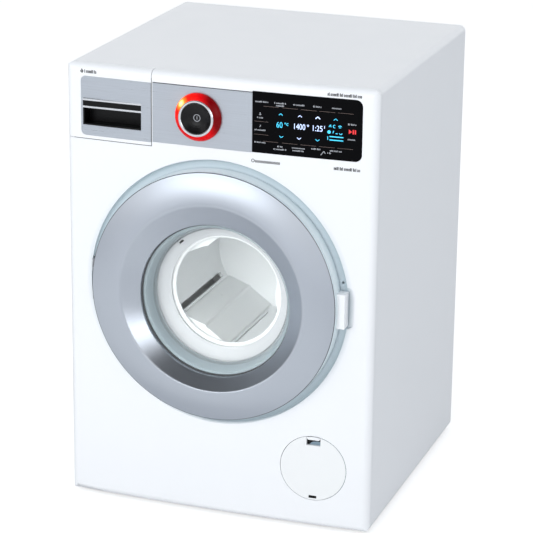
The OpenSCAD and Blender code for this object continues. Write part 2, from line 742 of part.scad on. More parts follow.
module pocket_outline(margin) linear_extrude(60, center = true)
    rounded([pocket_x0 - margin, pocket_x1 + margin], [pocket_z0 - margin, pocket_z1 + margin], 0, 0);

module drawer_front() color("white") difference() {
    intersection() {
        union() {
            difference() {
                front_form();
                front_core();
            }
            // lips along the seams
            slab([drawer_x - drawer_gap / 2 - wall, drawer_x], [proud(seam_y), -bow(drawer_x) - 1],
                [drawer_z, in_top + 0.1]);
            slab([-in_x - 0.1, drawer_x], [proud(seam_y), -bow(in_x) - 1],
                [drawer_z, drawer_z + drawer_gap / 2 + wall]);
            // studs that hold the tray
            for (z = tray_z) slab([tray_x[1] - 3, tray_x[1] + 1], [tray_flange_p, -bow(tray_x[1]) - 1],
                [z - 2, z + 2]);
            slab([tray_x[0] - 1, pocket_x0 - 0.5], [tray_flange_p, -bow(pocket_x0) - 1], tray_z);
        }
        slab([-half_w - over, drawer_x - drawer_gap / 2], [proud(seam_y - move_gap), over],
            [drawer_z + drawer_gap / 2, top_z + over]);
    }
    on_front() pocket_outline(fit_gap);
    bow_plate([label_x - 0.1, drawer_x + over], from(strip_z0, [-0.5, label_h - 0.3]), 3, 0, -over, 0.82);
}

module drawer_label() color("silver") difference() {
    bow_plate([label_x, drawer_x - drawer_gap / 2 - 0.1], from(strip_z0, [-0.4, label_h - 0.4]), 3, 0,
        0, 0.8);
    on_front() pocket_outline(fit_gap);
}

module handle_pocket() color("black") {
    difference() {
        slab([pocket_x0, pocket_x1], [-pocket_d, -bow(pocket_x0) + 0.5], [pocket_z0, pocket_z1]);
        // grip space: through the mouth under the bar and up behind it
        slab([pocket_x0 + pocket_wall, pocket_x1 - pocket_wall], [-pocket_d + pocket_wall, over],
            [pocket_z0 + pocket_wall, bar_z0]);
        slab([pocket_x0 + pocket_wall, pocket_x1 - pocket_wall], [-pocket_d + pocket_wall, -4.6],
            [pocket_z0 + pocket_wall, pocket_z1 - pocket_wall]);
    }
}

module handle_trim() color("silver") for (z = [bar_z0 + 0.5, pocket_z1 - 0.5])
    slab([pocket_x0, pocket_x1], [-bow(pocket_x0) + 0.5, -bow(pocket_x0) + 1], [z - 0.5, z + 0.5]);

module drawer_tray() color("white") difference() {
    union() {
        // flange behind the drawer front, around the pocket
        difference() {
            slab([tray_x[0], tray_x[1]], [tray_flange_p - tray_wall, tray_flange_p], tray_z);
            on_front() pocket_outline(fit_gap);
        }
        slab(tray_x, [tray_front_p - tray_wall, tray_front_p], tray_z);
        // two side cheeks join the flange to the tray
        for (x = [[tray_x[0], pocket_x0 - 0.6], [pocket_x1 + 0.4, tray_x[1]]])
            slab(x, [tray_front_p, tray_flange_p], [tray_z[0], tray_z[1]]);
        difference() {
            slab(tray_x, [tray_back_p, tray_front_p - 0.1], [tray_z[0], tray_z[1] - 3]);
            // three compartments
            for (c = compartments)
                slab(c, [tray_back_p + tray_wall, tray_front_p - tray_wall],
                    [tray_z[0] + tray_wall, tray_z[1] + over]);
        }
    }
    // outlets in the floor towards the tub
    for (c = compartments) on_front() translate([(c[0] + c[1]) / 2, 0, tray_back_p + 6]) rotate([90, 0, 0])
        translate([0, 0, -tray_z[1]]) cylinder(r = 1.5, h = tray_z[1], $fn = fn_small);
}

module drawer_housing() color("white") {
    gap = 0.4;
    inner_x = tray_x + gap * [-1, 1];
    inner_z = tray_z + [-move_gap, 1];
    difference() {
        union() {
            // flange that closes the corner behind the drawer front
            slab([-in_x + fit_gap, drawer_x - 0.4], [housing_p - tray_wall, housing_p],
                [drawer_z, in_top - fit_gap]);
            slab(inner_x + tray_wall * [-1, 1], [housing_back_p, housing_p], inner_z + tray_wall * [-1, 1]);
        }
        slab(inner_x, [housing_back_p + tray_wall, over], inner_z);
        // spout into the tub
        on_front() translate([tray_x[1] - 18, 0, housing_back_p + 8]) rotate([90, 0, 0])
            translate([0, 0, -inner_z[0] - over])
                cylinder(r = 3, h = 2 * over + tray_wall + 1, $fn = fn_small);
    }
    // saddle that carries the housing from the cabinet's top
    for (p = [housing_back_p + 1, housing_p - 12])
        slab(around(tray_x[1] - 21, 5), [p, p + 2], [inner_z[1] + tray_wall - 0.1, in_top]);
}

// ---- door ----------------------------------------------------------------

module trim_hollow() {
    // conical inside of the ring, drawn between the crest circle and the lower window circle
    hull() {
        on_front(0, ring_z) translate([0, 0, crest_proud - 0.2]) cylinder(r = crest_r, h = over, $fn = 96);
        on_front(0, axis_z) translate([0, 0, lip_proud]) cylinder(r = lip_r, h = 0.01, $fn = 96);
    }
    on_front(0, axis_z) rod(lip_r, 0, lip_proud + over, 96);
}

module trim_underside() {
    hull() {
        on_front(0, ring_z) translate([0, 0, crest_proud - 0.2 - trim_t])
            cylinder(r = crest_r + 1.5, h = 0.01, $fn = 96);
        on_front(0, axis_z) translate([0, 0, lip_proud - trim_t])
            cylinder(r = lip_r + 1.5, h = 0.01, $fn = 96);
    }
    on_front(0, axis_z) rod(lip_r + 1.5, 0, lip_proud - trim_t, 96);
}

module door_trim() color("silver") difference() {
    union() {
        difference() {
            on_front(0, ring_z) turned([[lip_r - 4, lip_proud - trim_t], [ring_r, ring_proud - ring_edge],
                [ring_r, ring_proud - 0.5], [ring_r - 0.5, ring_proud], [ring_r - 6, ring_proud + 1.5],
                [crest_r + 4, crest_proud - 0.4], [crest_r + 1, crest_proud], [crest_r, crest_proud],
                [lip_r - 4, crest_proud]]);
            trim_hollow();
            // hollow underside of the ring
            difference() {
                on_front(0, ring_z) turned([[lip_r - 4, lip_proud - trim_t - over],
                    [ring_r - trim_t, lip_proud - trim_t - over],
                    [ring_r - trim_t, ring_proud - trim_t], [crest_r + 3, crest_proud - 0.4 - trim_t],
                        [crest_r, crest_proud - 0.4 - trim_t],
                    [lip_r - 4, crest_proud - 0.4 - trim_t]]);
                trim_underside();
            }
        }
        // screw bosses
        on_front(0, ring_z) for (a = door_screw_angles) rotate([0, 0, a]) translate([door_screw_ring, 0, 0])
            rod(door_boss_r, frame_back + frame_t + 1.4, crest_proud - trim_t - 0.8);
    }
    on_front(0, ring_z) for (a = door_screw_angles) rotate([0, 0, a]) translate([door_screw_ring, 0, 0])
        rod(door_screw_r + pilot_gap, -over, ring_proud - 2, fn_small);
}

module door_frame() color("white") difference() {
    union() {
        on_front(0, ring_z) {
            pipe(ring_r - 0.1, ring_r - frame_t, frame_back, ring_proud - ring_edge - 0.6, fn_big);
            rod(ring_r - 0.1, frame_back, frame_back + frame_t, fn_big);
            for (a = door_screw_angles) rotate([0, 0, a]) translate([door_screw_ring, 0, 0])
                rod(4.4, frame_back, frame_back + frame_t + 1.3);
        }
        // handle block
        slab([ring_r - 2.5, ring_r - 0.6 + handle_w], [-dish_depth + 0.9, handle_proud],
            around(ring_z + handle_up, handle_h / 2));
        // hinge arm and knuckle
        translate([hinge_x, hinge_y, ring_z - knuckle_h / 2])
            cylinder(r = knuckle_r, h = knuckle_h, $fn = fn_small);
        translate([hinge_x, hinge_y - 1, ring_z - knuckle_h / 2]) cube([5, arm_t, knuckle_h]);
    }
    on_front(0, axis_z) rod(lip_r - 0.6, frame_back - over, 10, fn_big);
    translate([hinge_x, hinge_y, ring_z - knuckle_h])
        cylinder(r = hinge_pin_r + run_gap, h = 2 * knuckle_h, $fn = fn_small);
    // room for the fixed knuckles
    for (s = [-1, 1]) translate([hinge_x, hinge_y, ring_z + s * (hinge_ear_z + ear_h / 2)])
        cylinder(r = knuckle_r + move_gap, h = ear_h + 0.6, center = true, $fn = fn_small);
    // counterbored screw holes
    on_front(0, ring_z) for (a = door_screw_angles) rotate([0, 0, a]) translate([door_screw_ring, 0, 0]) {
        rod(door_screw_r + 0.2, frame_back - over, 8, fn_small);
        rod(2.8, frame_back - over, frame_back + 1.8, fn_small);
    }
    // seat of the latch tongue
    slab([hook_x - hook_w / 2, hook_x + hook_w / 2], [frame_back - over, frame_back + frame_t + over],
        [hook_z - hook_h / 2, hook_z + hook_h / 2]);
}

window_seat = frame_back + frame_t;
module door_window() color("lightcyan", 0.4) on_front(0, axis_z) turned([
    [0, -cup_depth], [cup_r - 1, -cup_depth], [cup_r, -cup_depth + 1], [lip_r - 0.8, window_seat + 0.05],
    [lip_r + seal_w, window_seat + 0.05], [lip_r + seal_w, window_seat + window_t],
    [lip_r - 0.8 - window_t, window_seat + window_t],
    [cup_r - window_t, -cup_depth + window_t + 0.8], [cup_r - window_t - 1, -cup_depth + window_t],
        [0, -cup_depth + window_t]]);

module window_seal() color("grey") on_front(0, axis_z)
    pipe(lip_r + seal_w - 0.8, lip_r - 0.6, window_seat + window_t, lip_proud - trim_t, fn_big);

module door_hook() color("white") {
    slab([hook_x - hook_w / 2, hook_x + hook_w / 2], [frame_back - hook_len, frame_back + frame_t],
        [hook_z - hook_h / 2, hook_z + hook_h / 2]);
    slab([hook_x - hook_w / 2 - 1, hook_x + hook_w / 2 + 1],
        [frame_back + frame_t, frame_back + frame_t + 1.2],
        [hook_z - hook_h / 2 - 1, hook_z + hook_h / 2 + 1]);
}

module door_screws() color("silver") on_front(0, ring_z) for (a = door_screw_angles) rotate([0, 0, a])
    translate([door_screw_ring, 0, frame_back + 1.8]) rotate([180, 0, 0])
        pan_screw(2.5, 1.5, door_screw_r, 6);

module hinge_bracket() color("silver") difference() {
    plate_p = dish_back - 2;
    union() {
        slab([hinge_x - knuckle_r, hinge_x + 16], [plate_p - 1.5, plate_p],
            around(ring_z, hinge_ear_z + ear_h));
        for (s = [-1, 1]) {
            z = around(ring_z + s * (hinge_ear_z + ear_h / 2), ear_h / 2);
            slab([hinge_x - knuckle_r, hinge_x + knuckle_r], [plate_p - 1, proud(hinge_y)], z);
            translate([hinge_x, hinge_y, z[0]]) cylinder(r = knuckle_r, h = ear_h, $fn = fn_small);
        }
    }
    translate([hinge_x, hinge_y, ring_z - 20]) cylinder(r = hinge_pin_r + 0.01, h = 40, $fn = fn_small);
    for (z = hinge_screw_z) on_front(hinge_screw_x, z)
        rod(screw_r + 0.2, plate_p - 3, plate_p + 1, fn_small);
}

module hinge_pin() color("silver") translate([hinge_x, hinge_y, ring_z - hinge_ear_z - ear_h])
    cylinder(r = hinge_pin_r, h = 2 * (hinge_ear_z + ear_h), $fn = fn_small);

module hinge_screws() color("silver") for (z = hinge_screw_z)
    on_front(hinge_screw_x, z) translate([0, 0, dish_back - 3.5]) rotate([180, 0, 0])
        pan_screw(2.2, 1.4, screw_r, 4.4);

module latch_catch() color("white") difference() {
    slab([hook_x - hook_w / 2 - 2.4, hook_x + hook_w / 2 + 2.8], [dish_back - 7, dish_back],
        [hook_z - hook_h / 2 - 2.4, hook_z + hook_h / 2 + 2.4]);
    slab([hook_x - hook_w / 2 - 0.4, hook_x + hook_w / 2 + 0.8], [dish_back - 6, dish_back + over],
        [hook_z - hook_h / 2 - 0.4, hook_z + hook_h / 2 + 0.4]);
}

// ---- tub, drum and drive -------------------------------------------------

module tub_collar() color("white") on_front(0, axis_z) difference() {
    turned([[throat_r + 2.5, dish_back], [throat_r - 1, dish_back], [throat_r - 4, dish_back - 1.4],
        [cup_r + 4, collar_front + 0.6], [cup_r + 1.5, collar_front], [collar_hole_r + 1.4, collar_lip],
        [collar_hole_r, collar_lip - 0.7], [collar_hole_r, collar_lip - collar_t],
        [cup_r, collar_front - collar_t], [throat_r - 5, dish_back - 3.2], [throat_r - 1, dish_back - 2],
        [throat_r + 2.5, dish_back - 2]]);
    // pair of small drain slots
    for (r = [collar_hole_r + 5, collar_hole_r + 7.6]) rotate([0, 0, 134]) translate([r, 0, collar_front - 2])
        cube([1.5, 3.2, 12], center = true);
}

module tub() color("white") on_front(0, axis_z) difference() {
    union() {
        pipe(tub_r + tub_wall, tub_r, tub_back, tub_front, fn_big);
        rod(tub_r + tub_wall, tub_back - tub_back_t, tub_back + 0.01, fn_big);
        rod(bearing_r + 2.5, bearing_back, tub_back);
        difference() {
            rod(tub_screw_ring + tub_boss_r, tub_flange_p - tub_flange_t, tub_flange_p, fn_big);
            rod(tub_r + 0.5, tub_flange_p - 5, tub_flange_p + over, fn_big);
            // the flange leaves the flap's pocket and the strip clear
            for (a = [0, 90, 180, 270]) rotate([0, 0, a])
                translate([tub_screw_ring - 4, -30, tub_flange_p - 5])
                cube([20, 60, 10]);
        }
        for (a = post_angles) rotate([0, 0, a]) translate([post_ring, 0, 0])
            rod(post_r, bracket_front, tub_back - tub_back_t + 0.5, fn_small);
        // foot of the idler's axle
        rotate([0, 0, idler_dir]) translate([idler_dist, 0, 0])
            rod(4, gear_front + 0.5, tub_back - tub_back_t + 0.5, fn_small);
        // drain spigot under the tub
        translate([hose_x, 0, hose_p]) rotate([90, 0, 0])
            rod(hose_in_r, sqrt(pow(tub_r, 2) - pow(hose_x, 2)) + 0.5,
            tub_r + 10, fn_small);
    }
    rod(bearing_r + 0.01, tub_back - 30, tub_back + 5);
    for (a = tub_screw_angles) rotate([0, 0, a]) translate([tub_screw_ring, 0, 0])
        rod(screw_r + 0.3, tub_flange_p - 5, tub_flange_p + 5, fn_small);
    for (a = post_angles) rotate([0, 0, a]) translate([post_ring, 0, 0])
        rod(screw_r + pilot_gap, bracket_front - over, bracket_front + 10, fn_small);
    rotate([0, 0, idler_dir]) translate([idler_dist, 0, 0])
        rod(idler_axle_r + 0.01, gear_front - over, gear_front + 6, fn_small);
    translate([hose_x, 0, hose_p]) rotate([90, 0, 0]) rod(hose_in_r - 1.2, 30, tub_r + 20, fn_small);
}

module tub_screws() color("silver") on_front(0, axis_z) for (a = tub_screw_angles) rotate([0, 0, a])
    translate([tub_screw_ring, 0, tub_flange_p - tub_flange_t]) rotate([180, 0, 0])
        pan_screw(2.4, 1.6, screw_r, 7);

module drum_bearing() color("goldenrod") on_front(0, axis_z)
    pipe(bearing_r, shaft_r + run_gap, bearing_back, tub_back);

// Sector of a ring between two angles
module sector(r0, r1, a0, a1, p0, p1) {
    n = 8;
    difference() {
        translate([0, 0, p0]) linear_extrude(p1 - p0) polygon(concat([[0, 0]],
            [for (i = [0:n]) (r1 + 4) * [cos(a0 + (a1 - a0) * i / n), sin(a0 + (a1 - a0) * i / n)]]));
        rod(r0, p0 - over, p1 + over, fn_big);
        difference() {
            rod(r1 + 20, p0 - over, p1 + over, fn_big);
            rod(r1, p0 - 2 * over, p1 + 2 * over, fn_big);
        }
    }
}

module drum_shell() color("gainsboro") on_front(0, axis_z) difference() {
    rod(drum_r + drum_wall, shell_back, shell_front, fn_big);
    rod(drum_r, shell_back + drum_wall, shell_front + over, fn_big);
    // water slots beside each paddle: a wide one and a thin one
    for (a = [0, 120, 240]) {
        sector(drum_r - 1, drum_r + 5, a + slot_angle - 3, a + slot_angle + 3, shell_back + 8,
            shell_front - 2);
        sector(drum_r - 1, drum_r + 5, a + thin_angle - 0.8, a + thin_angle + 0.8, shell_back + 14,
            shell_front - 2);
    }
    for (a = [0, 120, 240]) rotate([0, 0, a + 60]) translate([6.5, 0, 0])
        rod(1.2, shell_back - over, shell_back + 5, fn_small);
}

module drum_ring() color("gainsboro") on_front(0, axis_z) turned([
    [mouth_r, mouth_front - 0.9], [mouth_r + 0.9, mouth_front], [drum_r + drum_wall - 0.5, mouth_front],
    [drum_r + drum_wall, mouth_front - 0.5], [drum_r + drum_wall, shell_front],
        [mouth_r + 1.2, shell_front],
    [mouth_r, shell_front + 0.8]]);

module drum_paddles() color("whitesmoke") on_front(0, axis_z) for (a = [0, 120, 240]) rotate([0, 0, a])
    intersection() {
        rod(drum_r - 0.02, shell_back + drum_wall + 0.05, shell_front - 1, fn_big);
        translate([0, 0, shell_back + drum_wall + 0.05]) linear_extrude(drum_len - drum_wall - 1.05)
            union() {
            polygon([for (p = [[drum_r + 1, slot_angle + 5], [drum_r - 1.2, slot_angle + 6],
                [drum_r - paddle_h + 0.4, ridge_angle - 3], [drum_r - paddle_h + 0.4, ridge_angle + 3],
                [drum_r - 1.2, thin_angle - 4], [drum_r + 1, thin_angle - 3],
                    [drum_r + 3, ridge_angle + 17],
                [drum_r + 3, ridge_angle], [drum_r + 3, ridge_angle - 14]]) p[0] * [cos(p[1]), sin(p[1])]]);
            rotate([0, 0, ridge_angle]) translate([drum_r - paddle_h + 1.6, 0])
                circle(r = 1.8, $fn = fn_small);
        }
    }

module drum_shaft() color("silver") on_front(0, axis_z) difference() {
    union() {
        rod(10, shell_back - shaft_flange_t, shell_back);
        rod(shaft_r, gear_back - clip_t - 1.4, shell_back - 0.5);
    }
    for (a = [0, 120, 240]) rotate([0, 0, a + 60]) translate([6.5, 0, 0])
        rod(1.2, shell_back - 5, shell_back + 1, fn_small);
    // groove for the clip
    pipe(shaft_r + 1, shaft_r - 0.8, gear_back - clip_t - 0.1, gear_back);
}

module drum_gear() color("white") on_front(0, axis_z) difference() {
    gear(drum_teeth, gear_back, 0);
    rod(shaft_r + 0.01, gear_back - over, gear_front + over);
    for (a = [0:60:300]) rotate([0, 0, a + 30]) translate([14, 0, 0])
        rod(4, gear_back - over, gear_front + over, fn_small);
}

module shaft_clip() color("silver") on_front(0, axis_z) difference() {
    pipe(shaft_r + 2, shaft_r - 0.78, gear_back - clip_t - 0.05, gear_back - 0.05);
    translate([0, 0, gear_back - 3]) linear_extrude(5) polygon([[0, 0], [12, 5], [12, -5]]);
}

idler_turn = idler_dir + 180 + 180 / idler_small;
big_turn = motor_dir;
pinion_turn = motor_dir + 180 + 180 / pinion_teeth;

module idler_gear() color("white") on_front(idler_at[0], idler_at[1]) difference() {
    union() {
        gear(idler_small, gear_back, idler_turn);
        gear(idler_big, stage_back, big_turn);
        rod(idler_small * gear_m / 2 - 1.25 * gear_m, stage_back, gear_back + 0.5, fn_mid);
    }
    rod(idler_axle_r + run_gap, stage_back - over, gear_front + over, fn_small);
}

module idler_axle() color("silver") on_front(idler_at[0], idler_at[1])
    rod(idler_axle_r, bracket_front - bracket_t, gear_front + 5.5, fn_small);

module motor_pinion() color("goldenrod") on_front(motor_at[0], motor_at[1]) difference() {
    gear(pinion_teeth, stage_back, pinion_turn);
    rod(motor_shaft_r + run_gap, stage_back - over, stage_front + over, fn_small);
}

module gear_bracket() color("silver") on_front(0, 0) difference() {
    union() {
        translate([0, 0, bracket_front - bracket_t]) linear_extrude(bracket_t) union() {
            for (a = post_angles) translate([post_ring * cos(a), axis_z + post_ring * sin(a)])
                circle(r = post_r + 1, $fn = fn_small);
            polygon([for (s = [[95, 1], [170, 1], [225, 1.1], [345, 1]])
                [post_ring * s[1] * cos(s[0]), axis_z + post_ring * s[1] * sin(s[0])]]);
            translate([motor_at[0], motor_at[1]]) circle(r = motor_r + 2, $fn = fn_mid);
            translate([idler_at[0], idler_at[1]]) circle(r = 12, $fn = fn_mid);
        }
        translate([idler_at[0], idler_at[1], 0]) rod(3, bracket_front - 0.1, stage_back - 0.3, fn_small);
    }
    for (a = post_angles) translate([post_ring * cos(a), axis_z + post_ring * sin(a), 0])
        rod(screw_r + 0.2, bracket_front - 5, bracket_front + over, fn_small);
    translate([idler_at[0], idler_at[1], 0])
        rod(idler_axle_r + 0.01, bracket_front - 5, stage_back + over, fn_small);
    translate([motor_at[0], motor_at[1], 0]) rod(3.2, bracket_front - 5, bracket_front + over, fn_small);
    translate([0, axis_z, 0]) rod(shaft_r + 2, bracket_front - 5, bracket_front + over, fn_small);
}

module drive_motor() color("silver") on_front(motor_at[0], motor_at[1]) {
    rod(motor_r, bracket_front - bracket_t - motor_len, bracket_front - bracket_t);
    rod(3, bracket_front - bracket_t - 0.1, bracket_front);
    rod(motor_shaft_r, bracket_front - 0.1, stage_front + 0.2, fn_small);
    rod(3, bracket_front - bracket_t - motor_len - 2, bracket_front - bracket_t - motor_len + 0.1,
        fn_small);
}

module bracket_screws() color("silver") on_front(0, axis_z) for (a = post_angles) rotate([0, 0, a])
    translate([post_ring, 0, bracket_front - bracket_t]) rotate([180, 0, 0])
        pan_screw(2.4, 1.6, screw_r, 9);

module board_screws() color("silver") for (b = board_bosses) on_front(b[0], strip_z0 + b[1])
    translate([0, 0, board_p - board_t]) rotate([180, 0, 0]) pan_screw(2.2, 1.4, screw_r, 7);

// ---- filter --------------------------------------------------------------

module flap() color("white") {
    difference() {
        intersection() {
            bow_layer(0, flap_t);
            on_front(flap_x, flap_cz) rod(flap_r, -8, over, fn_big);
        }
        slab(around(flap_x, notch_w / 2), [-8, over], from(flap_cz + flap_r, [-notch_h, over]));
        slab(around(flap_x, 2.3), [-8, over], from(flap_cz - flap_r, [1.5, 2.6]));
    }
    // prongs that slip into the pocket, with shoulders that rest on its ledge
    for (s = [-1, 1]) {
        back = -bow(flap_x + s * prong_x[0]) - flap_t + 0.4;
        slab(around(flap_x + s * (prong_x[0] + prong_x[1]) / 2, (prong_x[1] - prong_x[0]) / 2),
            [filter_front - prong_len, back], around(flap_cz, prong_h));
        slab(around(flap_x + s * (prong_x[1] + shoulder_x) / 2 - s * 0.2,
            (shoulder_x - prong_x[1]) / 2 + 0.2),
            [filter_front, back], around(flap_cz, prong_h - 1));
    }
}

module filter_housing() color("white") difference() {
    union() {
        on_front(flap_x, flap_cz) {
            pipe(flap_hole_r + cup_wall, flap_hole_r, filter_floor, filter_front);
            rod(flap_hole_r + cup_wall, filter_floor - filter_floor_t, filter_floor);
            rod(chamber_r, chamber_back, filter_floor - filter_floor_t + 0.1);
            // ledge that the flap seats on
            pipe(flap_hole_r + 0.1, ledge_r, filter_front - ledge_t, filter_front);
        }
        // spigot for the hose
        translate([flap_x - chamber_r - 9, front_y - hose_p, flap_cz]) rotate([0, 90, 0])
            cylinder(r = hose_in_r, h = 10, $fn = fn_small);
    }
    on_front(flap_x, flap_cz) {
        rod(cap_stem_r + run_gap, filter_floor - 10, filter_floor + over);
        rod(chamber_r - 1.5, chamber_back + 1.5, filter_floor - filter_floor_t - 1.5);
    }
    translate([flap_x - chamber_r - 10, front_y - hose_p, flap_cz]) rotate([0, 90, 0])
        cylinder(r = hose_in_r - 1.2, h = 12, $fn = fn_small);
}

module filter_cap() color("lightgrey") on_front(flap_x, flap_cz) {
    turned([[0, filter_floor + 0.3], [cap_r, filter_floor + 0.3], [cap_r, filter_floor + 2],
        [cap_r - 0.8, filter_floor + 2.8], [0, filter_floor + 2.8]], fn_mid);
    rod(cap_stem_r, filter_floor - 4, filter_floor + 0.4);
    translate([-cap_r + 2, -1.2, filter_floor + 2.5]) cube([2 * cap_r - 4, 2.4, 3.4]);
}

module drain_hose() color("grey") {
    spigot_z = axis_z - tub_r - tub_wall;
    hose_y = front_y - hose_p;
    hose_r = hose_in_r + hose_wall;
    fit_r = hose_in_r + 0.02;
    bend_z = flap_cz + hose_bend_r;
    translate([hose_x, hose_y, bend_z]) difference() {
        cylinder(r = hose_r, h = spigot_z + 1 - bend_z, $fn = fn_small);
        translate([0, 0, -over]) cylinder(r = fit_r, h = spigot_z + 3 - bend_z, $fn = fn_small);
    }
    translate([hose_x + hose_bend_r, hose_y, flap_cz]) rotate([0, 90, 0]) difference() {
        cylinder(r = hose_r, h = flap_x - chamber_r - 0.5 - hose_x - hose_bend_r, $fn = fn_small);
        translate([0, 0, -over]) cylinder(r = fit_r, h = flap_x - hose_x, $fn = fn_small);
    }
    translate([hose_x + hose_bend_r, hose_y, bend_z]) rotate([90, 0, 0]) rotate([0, 0, 180])
        rotate_extrude(angle = 90, $fn = fn_mid) translate([hose_bend_r, 0]) difference() {
            circle(r = hose_r, $fn = fn_small);
            circle(r = fit_r, $fn = fn_small);
        }
}

// ---- power, sound and fasteners ------------------------------------------

box_z = from(base_z, battery_z);
cell_y = back_in - box_d + box_wall + cell_r + 0.1;
cell_z = box_z[0] + 1.8 + 0.6 + spring_len;

module battery_box() color("white") difference() {
    union() {
        translate([-battery_half - 1.5, back_in - box_d, box_z[0] - 1.5])
            cube([2 * battery_half + 3, box_d, box_z[1] - box_z[0] + 3]);
        translate([0, back_in, base_z + ear_z - 3]) rotate([90, 0, 0])
            cylinder(r = ear_r + 1.5, h = 14, $fn = fn_mid);
    }
    translate([-battery_half + box_wall, back_in - box_d + box_wall, box_z[0] + 1.8])
        cube([2 * (battery_half - box_wall), box_d, box_z[1] - box_z[0] - 3.6]);
    translate([0, back_in + over, base_z + ear_z - 2.4]) rotate([90, 0, 0])
        cylinder(r = screw_r + pilot_gap, h = 13, $fn = fn_small);
}

module battery_cover() color("white") translate([0, back_in, 0]) difference() {
    intersection() {
        back_opening(-fit_gap);
        translate([-100, 0.05, 0]) cube([200, back_t - 0.05, 200]);
    }
    translate([0, 0, base_z + ear_z - 2.4]) rotate([-90, 0, 0]) {
        translate([0, 0, -over]) cylinder(r = screw_r + 0.3, h = 10, $fn = fn_small);
        translate([0, 0, back_t - 1.4]) cylinder(r = 2.7, h = 5, $fn = fn_small);
    }
    // grip grooves
    for (i = [0:4]) translate([-12, back_t - 0.6, box_z[0] + 6 + i * 2.4]) cube([24, 2, 1.2]);
}

module battery_screw() color("silver") translate([0, back_y - 1.4, base_z + ear_z - 2.4])
    rotate([-90, 0, 0])
    pan_screw(2.4, 1.3, screw_r, 10);

module battery_cells() color("dimgrey") for (i = [-1.5:1.5]) translate([i * cell_pitch, cell_y, cell_z]) {
    cylinder(r = cell_r, h = cell_len, $fn = fn_mid);
    cylinder(r = 2.7, h = cell_len + 1, $fn = fn_small);
}

module battery_contacts() color("silver") for (i = [-1.5:1.5]) translate([i * cell_pitch, cell_y, 0]) {
    translate([-contact_w / 2, -contact_w / 2, box_z[0] + 1.8]) cube([contact_w, contact_w, 0.6]);
    translate([0, 0, box_z[0] + 2.3]) cylinder(r1 = 4, r2 = 2.6, h = spring_len + 0.1, $fn = fn_small);
    translate([-contact_w / 2, -contact_w / 2, box_z[1] - 2.4]) cube([contact_w, contact_w, 0.6]);
    translate([0, 0, cell_z + cell_len + 1])
        cylinder(r = 2.4, h = box_z[1] - 2.3 - cell_z - cell_len - 1, $fn = fn_small);
}

module speaker() color("dimgrey") translate([speaker_at[0], back_in, base_z + speaker_at[1]])
    rotate([90, 0, 0]) {
    difference() {
        cylinder(r = speaker_r, h = 2.6, $fn = fn_mid);
        translate([0, 0, -over]) cylinder(r = speaker_r - 2.5, h = 2.6, $fn = fn_mid);
    }
    translate([0, 0, 1.5]) cylinder(r1 = speaker_r - 2, r2 = 8, h = 4, $fn = fn_mid);
    translate([0, 0, 5.4]) cylinder(r = 9, h = speaker_d - 5.4, $fn = fn_mid);
}

module back_screws() color("silver") for (s = [-1, 1], z = back_screw_z)
    translate([s * back_screw_x, back_y - 1.4, base_z + z]) rotate([-90, 0, 0])
        pan_screw(2.6, 1.3, screw_r, 12);

// Square-sectioned lead that runs from point to point along the axes
module lead(a, b) {
    low = [for (k = [0:2]) min(a[k], b[k]) - wire_r];
    high = [for (k = [0:2]) max(a[k], b[k]) + wire_r];
    translate(low) cube(high - low);
}
module lead_run(points) for (i = [0:len(points) - 2]) lead(points[i], points[i + 1]);

module wire_harness() {
    plug_y = front_y - (board_p - board_t - 5) + wire_r;
    plug_z = strip_z0 + plug_up;
    motor_y = front_y - (bracket_front - bracket_t - motor_len - 2) + wire_r;
    lane = wire_r * 2.5;
    lane_x = [for (i = [0:2]) in_x - 5.8 - 4 * i];
    box_lead_z = box_z[0] + 40;
    motor_lead_z = motor_at[1] - 30;
    // battery, speaker and motor leads, each down the right-hand wall and across
    color("red") lead_run([[37.5, plug_y, plug_z + lane], [37.5, plug_y + 3, plug_z + lane],
        [lane_x[0], plug_y + 3, plug_z + lane], [lane_x[0], lane_y[0], plug_z + lane],
        [lane_x[0], lane_y[0], box_lead_z], [60, lane_y[0], box_lead_z], [60, box_lead_y, box_lead_z],
        [battery_half + 1.5 + wire_r, box_lead_y, box_lead_z]]);
    color("black") lead_run([[49.5, plug_y, plug_z], [49.5, plug_y + 7, plug_z],
        [lane_x[1], plug_y + 7, plug_z], [lane_x[1], lane_y[1], plug_z],
        [lane_x[1], lane_y[1], speaker_lead_z], [speaker_at[0], lane_y[1], speaker_lead_z],
        [speaker_at[0], back_in - speaker_d - wire_r, speaker_lead_z]]);
    color("yellow") lead_run([[61.5, plug_y, plug_z - lane], [61.5, plug_y + 11, plug_z - lane],
        [lane_x[2], plug_y + 11, plug_z - lane], [lane_x[2], lane_y[2], plug_z - lane],
        [lane_x[2], lane_y[2], motor_lead_z], [lane_x[2], motor_y, motor_lead_z],
        [motor_at[0], motor_y, motor_lead_z], [motor_at[0], motor_y, motor_at[1]]]);
}

cabinet_shell();
front_panel();
back_cover();
base_tray();
feet();
fascia_plate();
display_lens();
control_board();
rotary_switch();
ring_leds();
speaker();
battery_box();
battery_cover();
battery_cells();
battery_contacts();
drawer_housing();
tub_collar();
tub();
drum_bearing();
gear_bracket();
drive_motor();
idler_axle();
filter_housing();
drain_hose();
hinge_bracket();
hinge_pin();
latch_catch();
wire_harness();
back_screws();
tub_screws();
bracket_screws();
board_screws();
battery_screw();
hinge_screws();
door_trim();
door_frame();
door_window();
window_seal();
door_hook();
door_screws();
drum_shell();
drum_ring();
drum_paddles();
drum_shaft();
drum_gear();
shaft_clip();
idler_gear();
motor_pinion();
drawer_front();
drawer_label();
handle_pocket();
handle_trim();
drawer_tray();
knob_collar();
knob_ring();
knob_spindle();
button_cap();
button_spring();
flap();
filter_cap();
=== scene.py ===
"""Looks of the toy washing machine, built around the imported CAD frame.

Places and sizes are in millimetres, apart from those of the stage, which are in metres. A p is a
distance in front of the flat plane through the front's foremost line.
"""

import json
import math

import bmesh
import bpy
from mathutils import Euler, Matrix, Vector


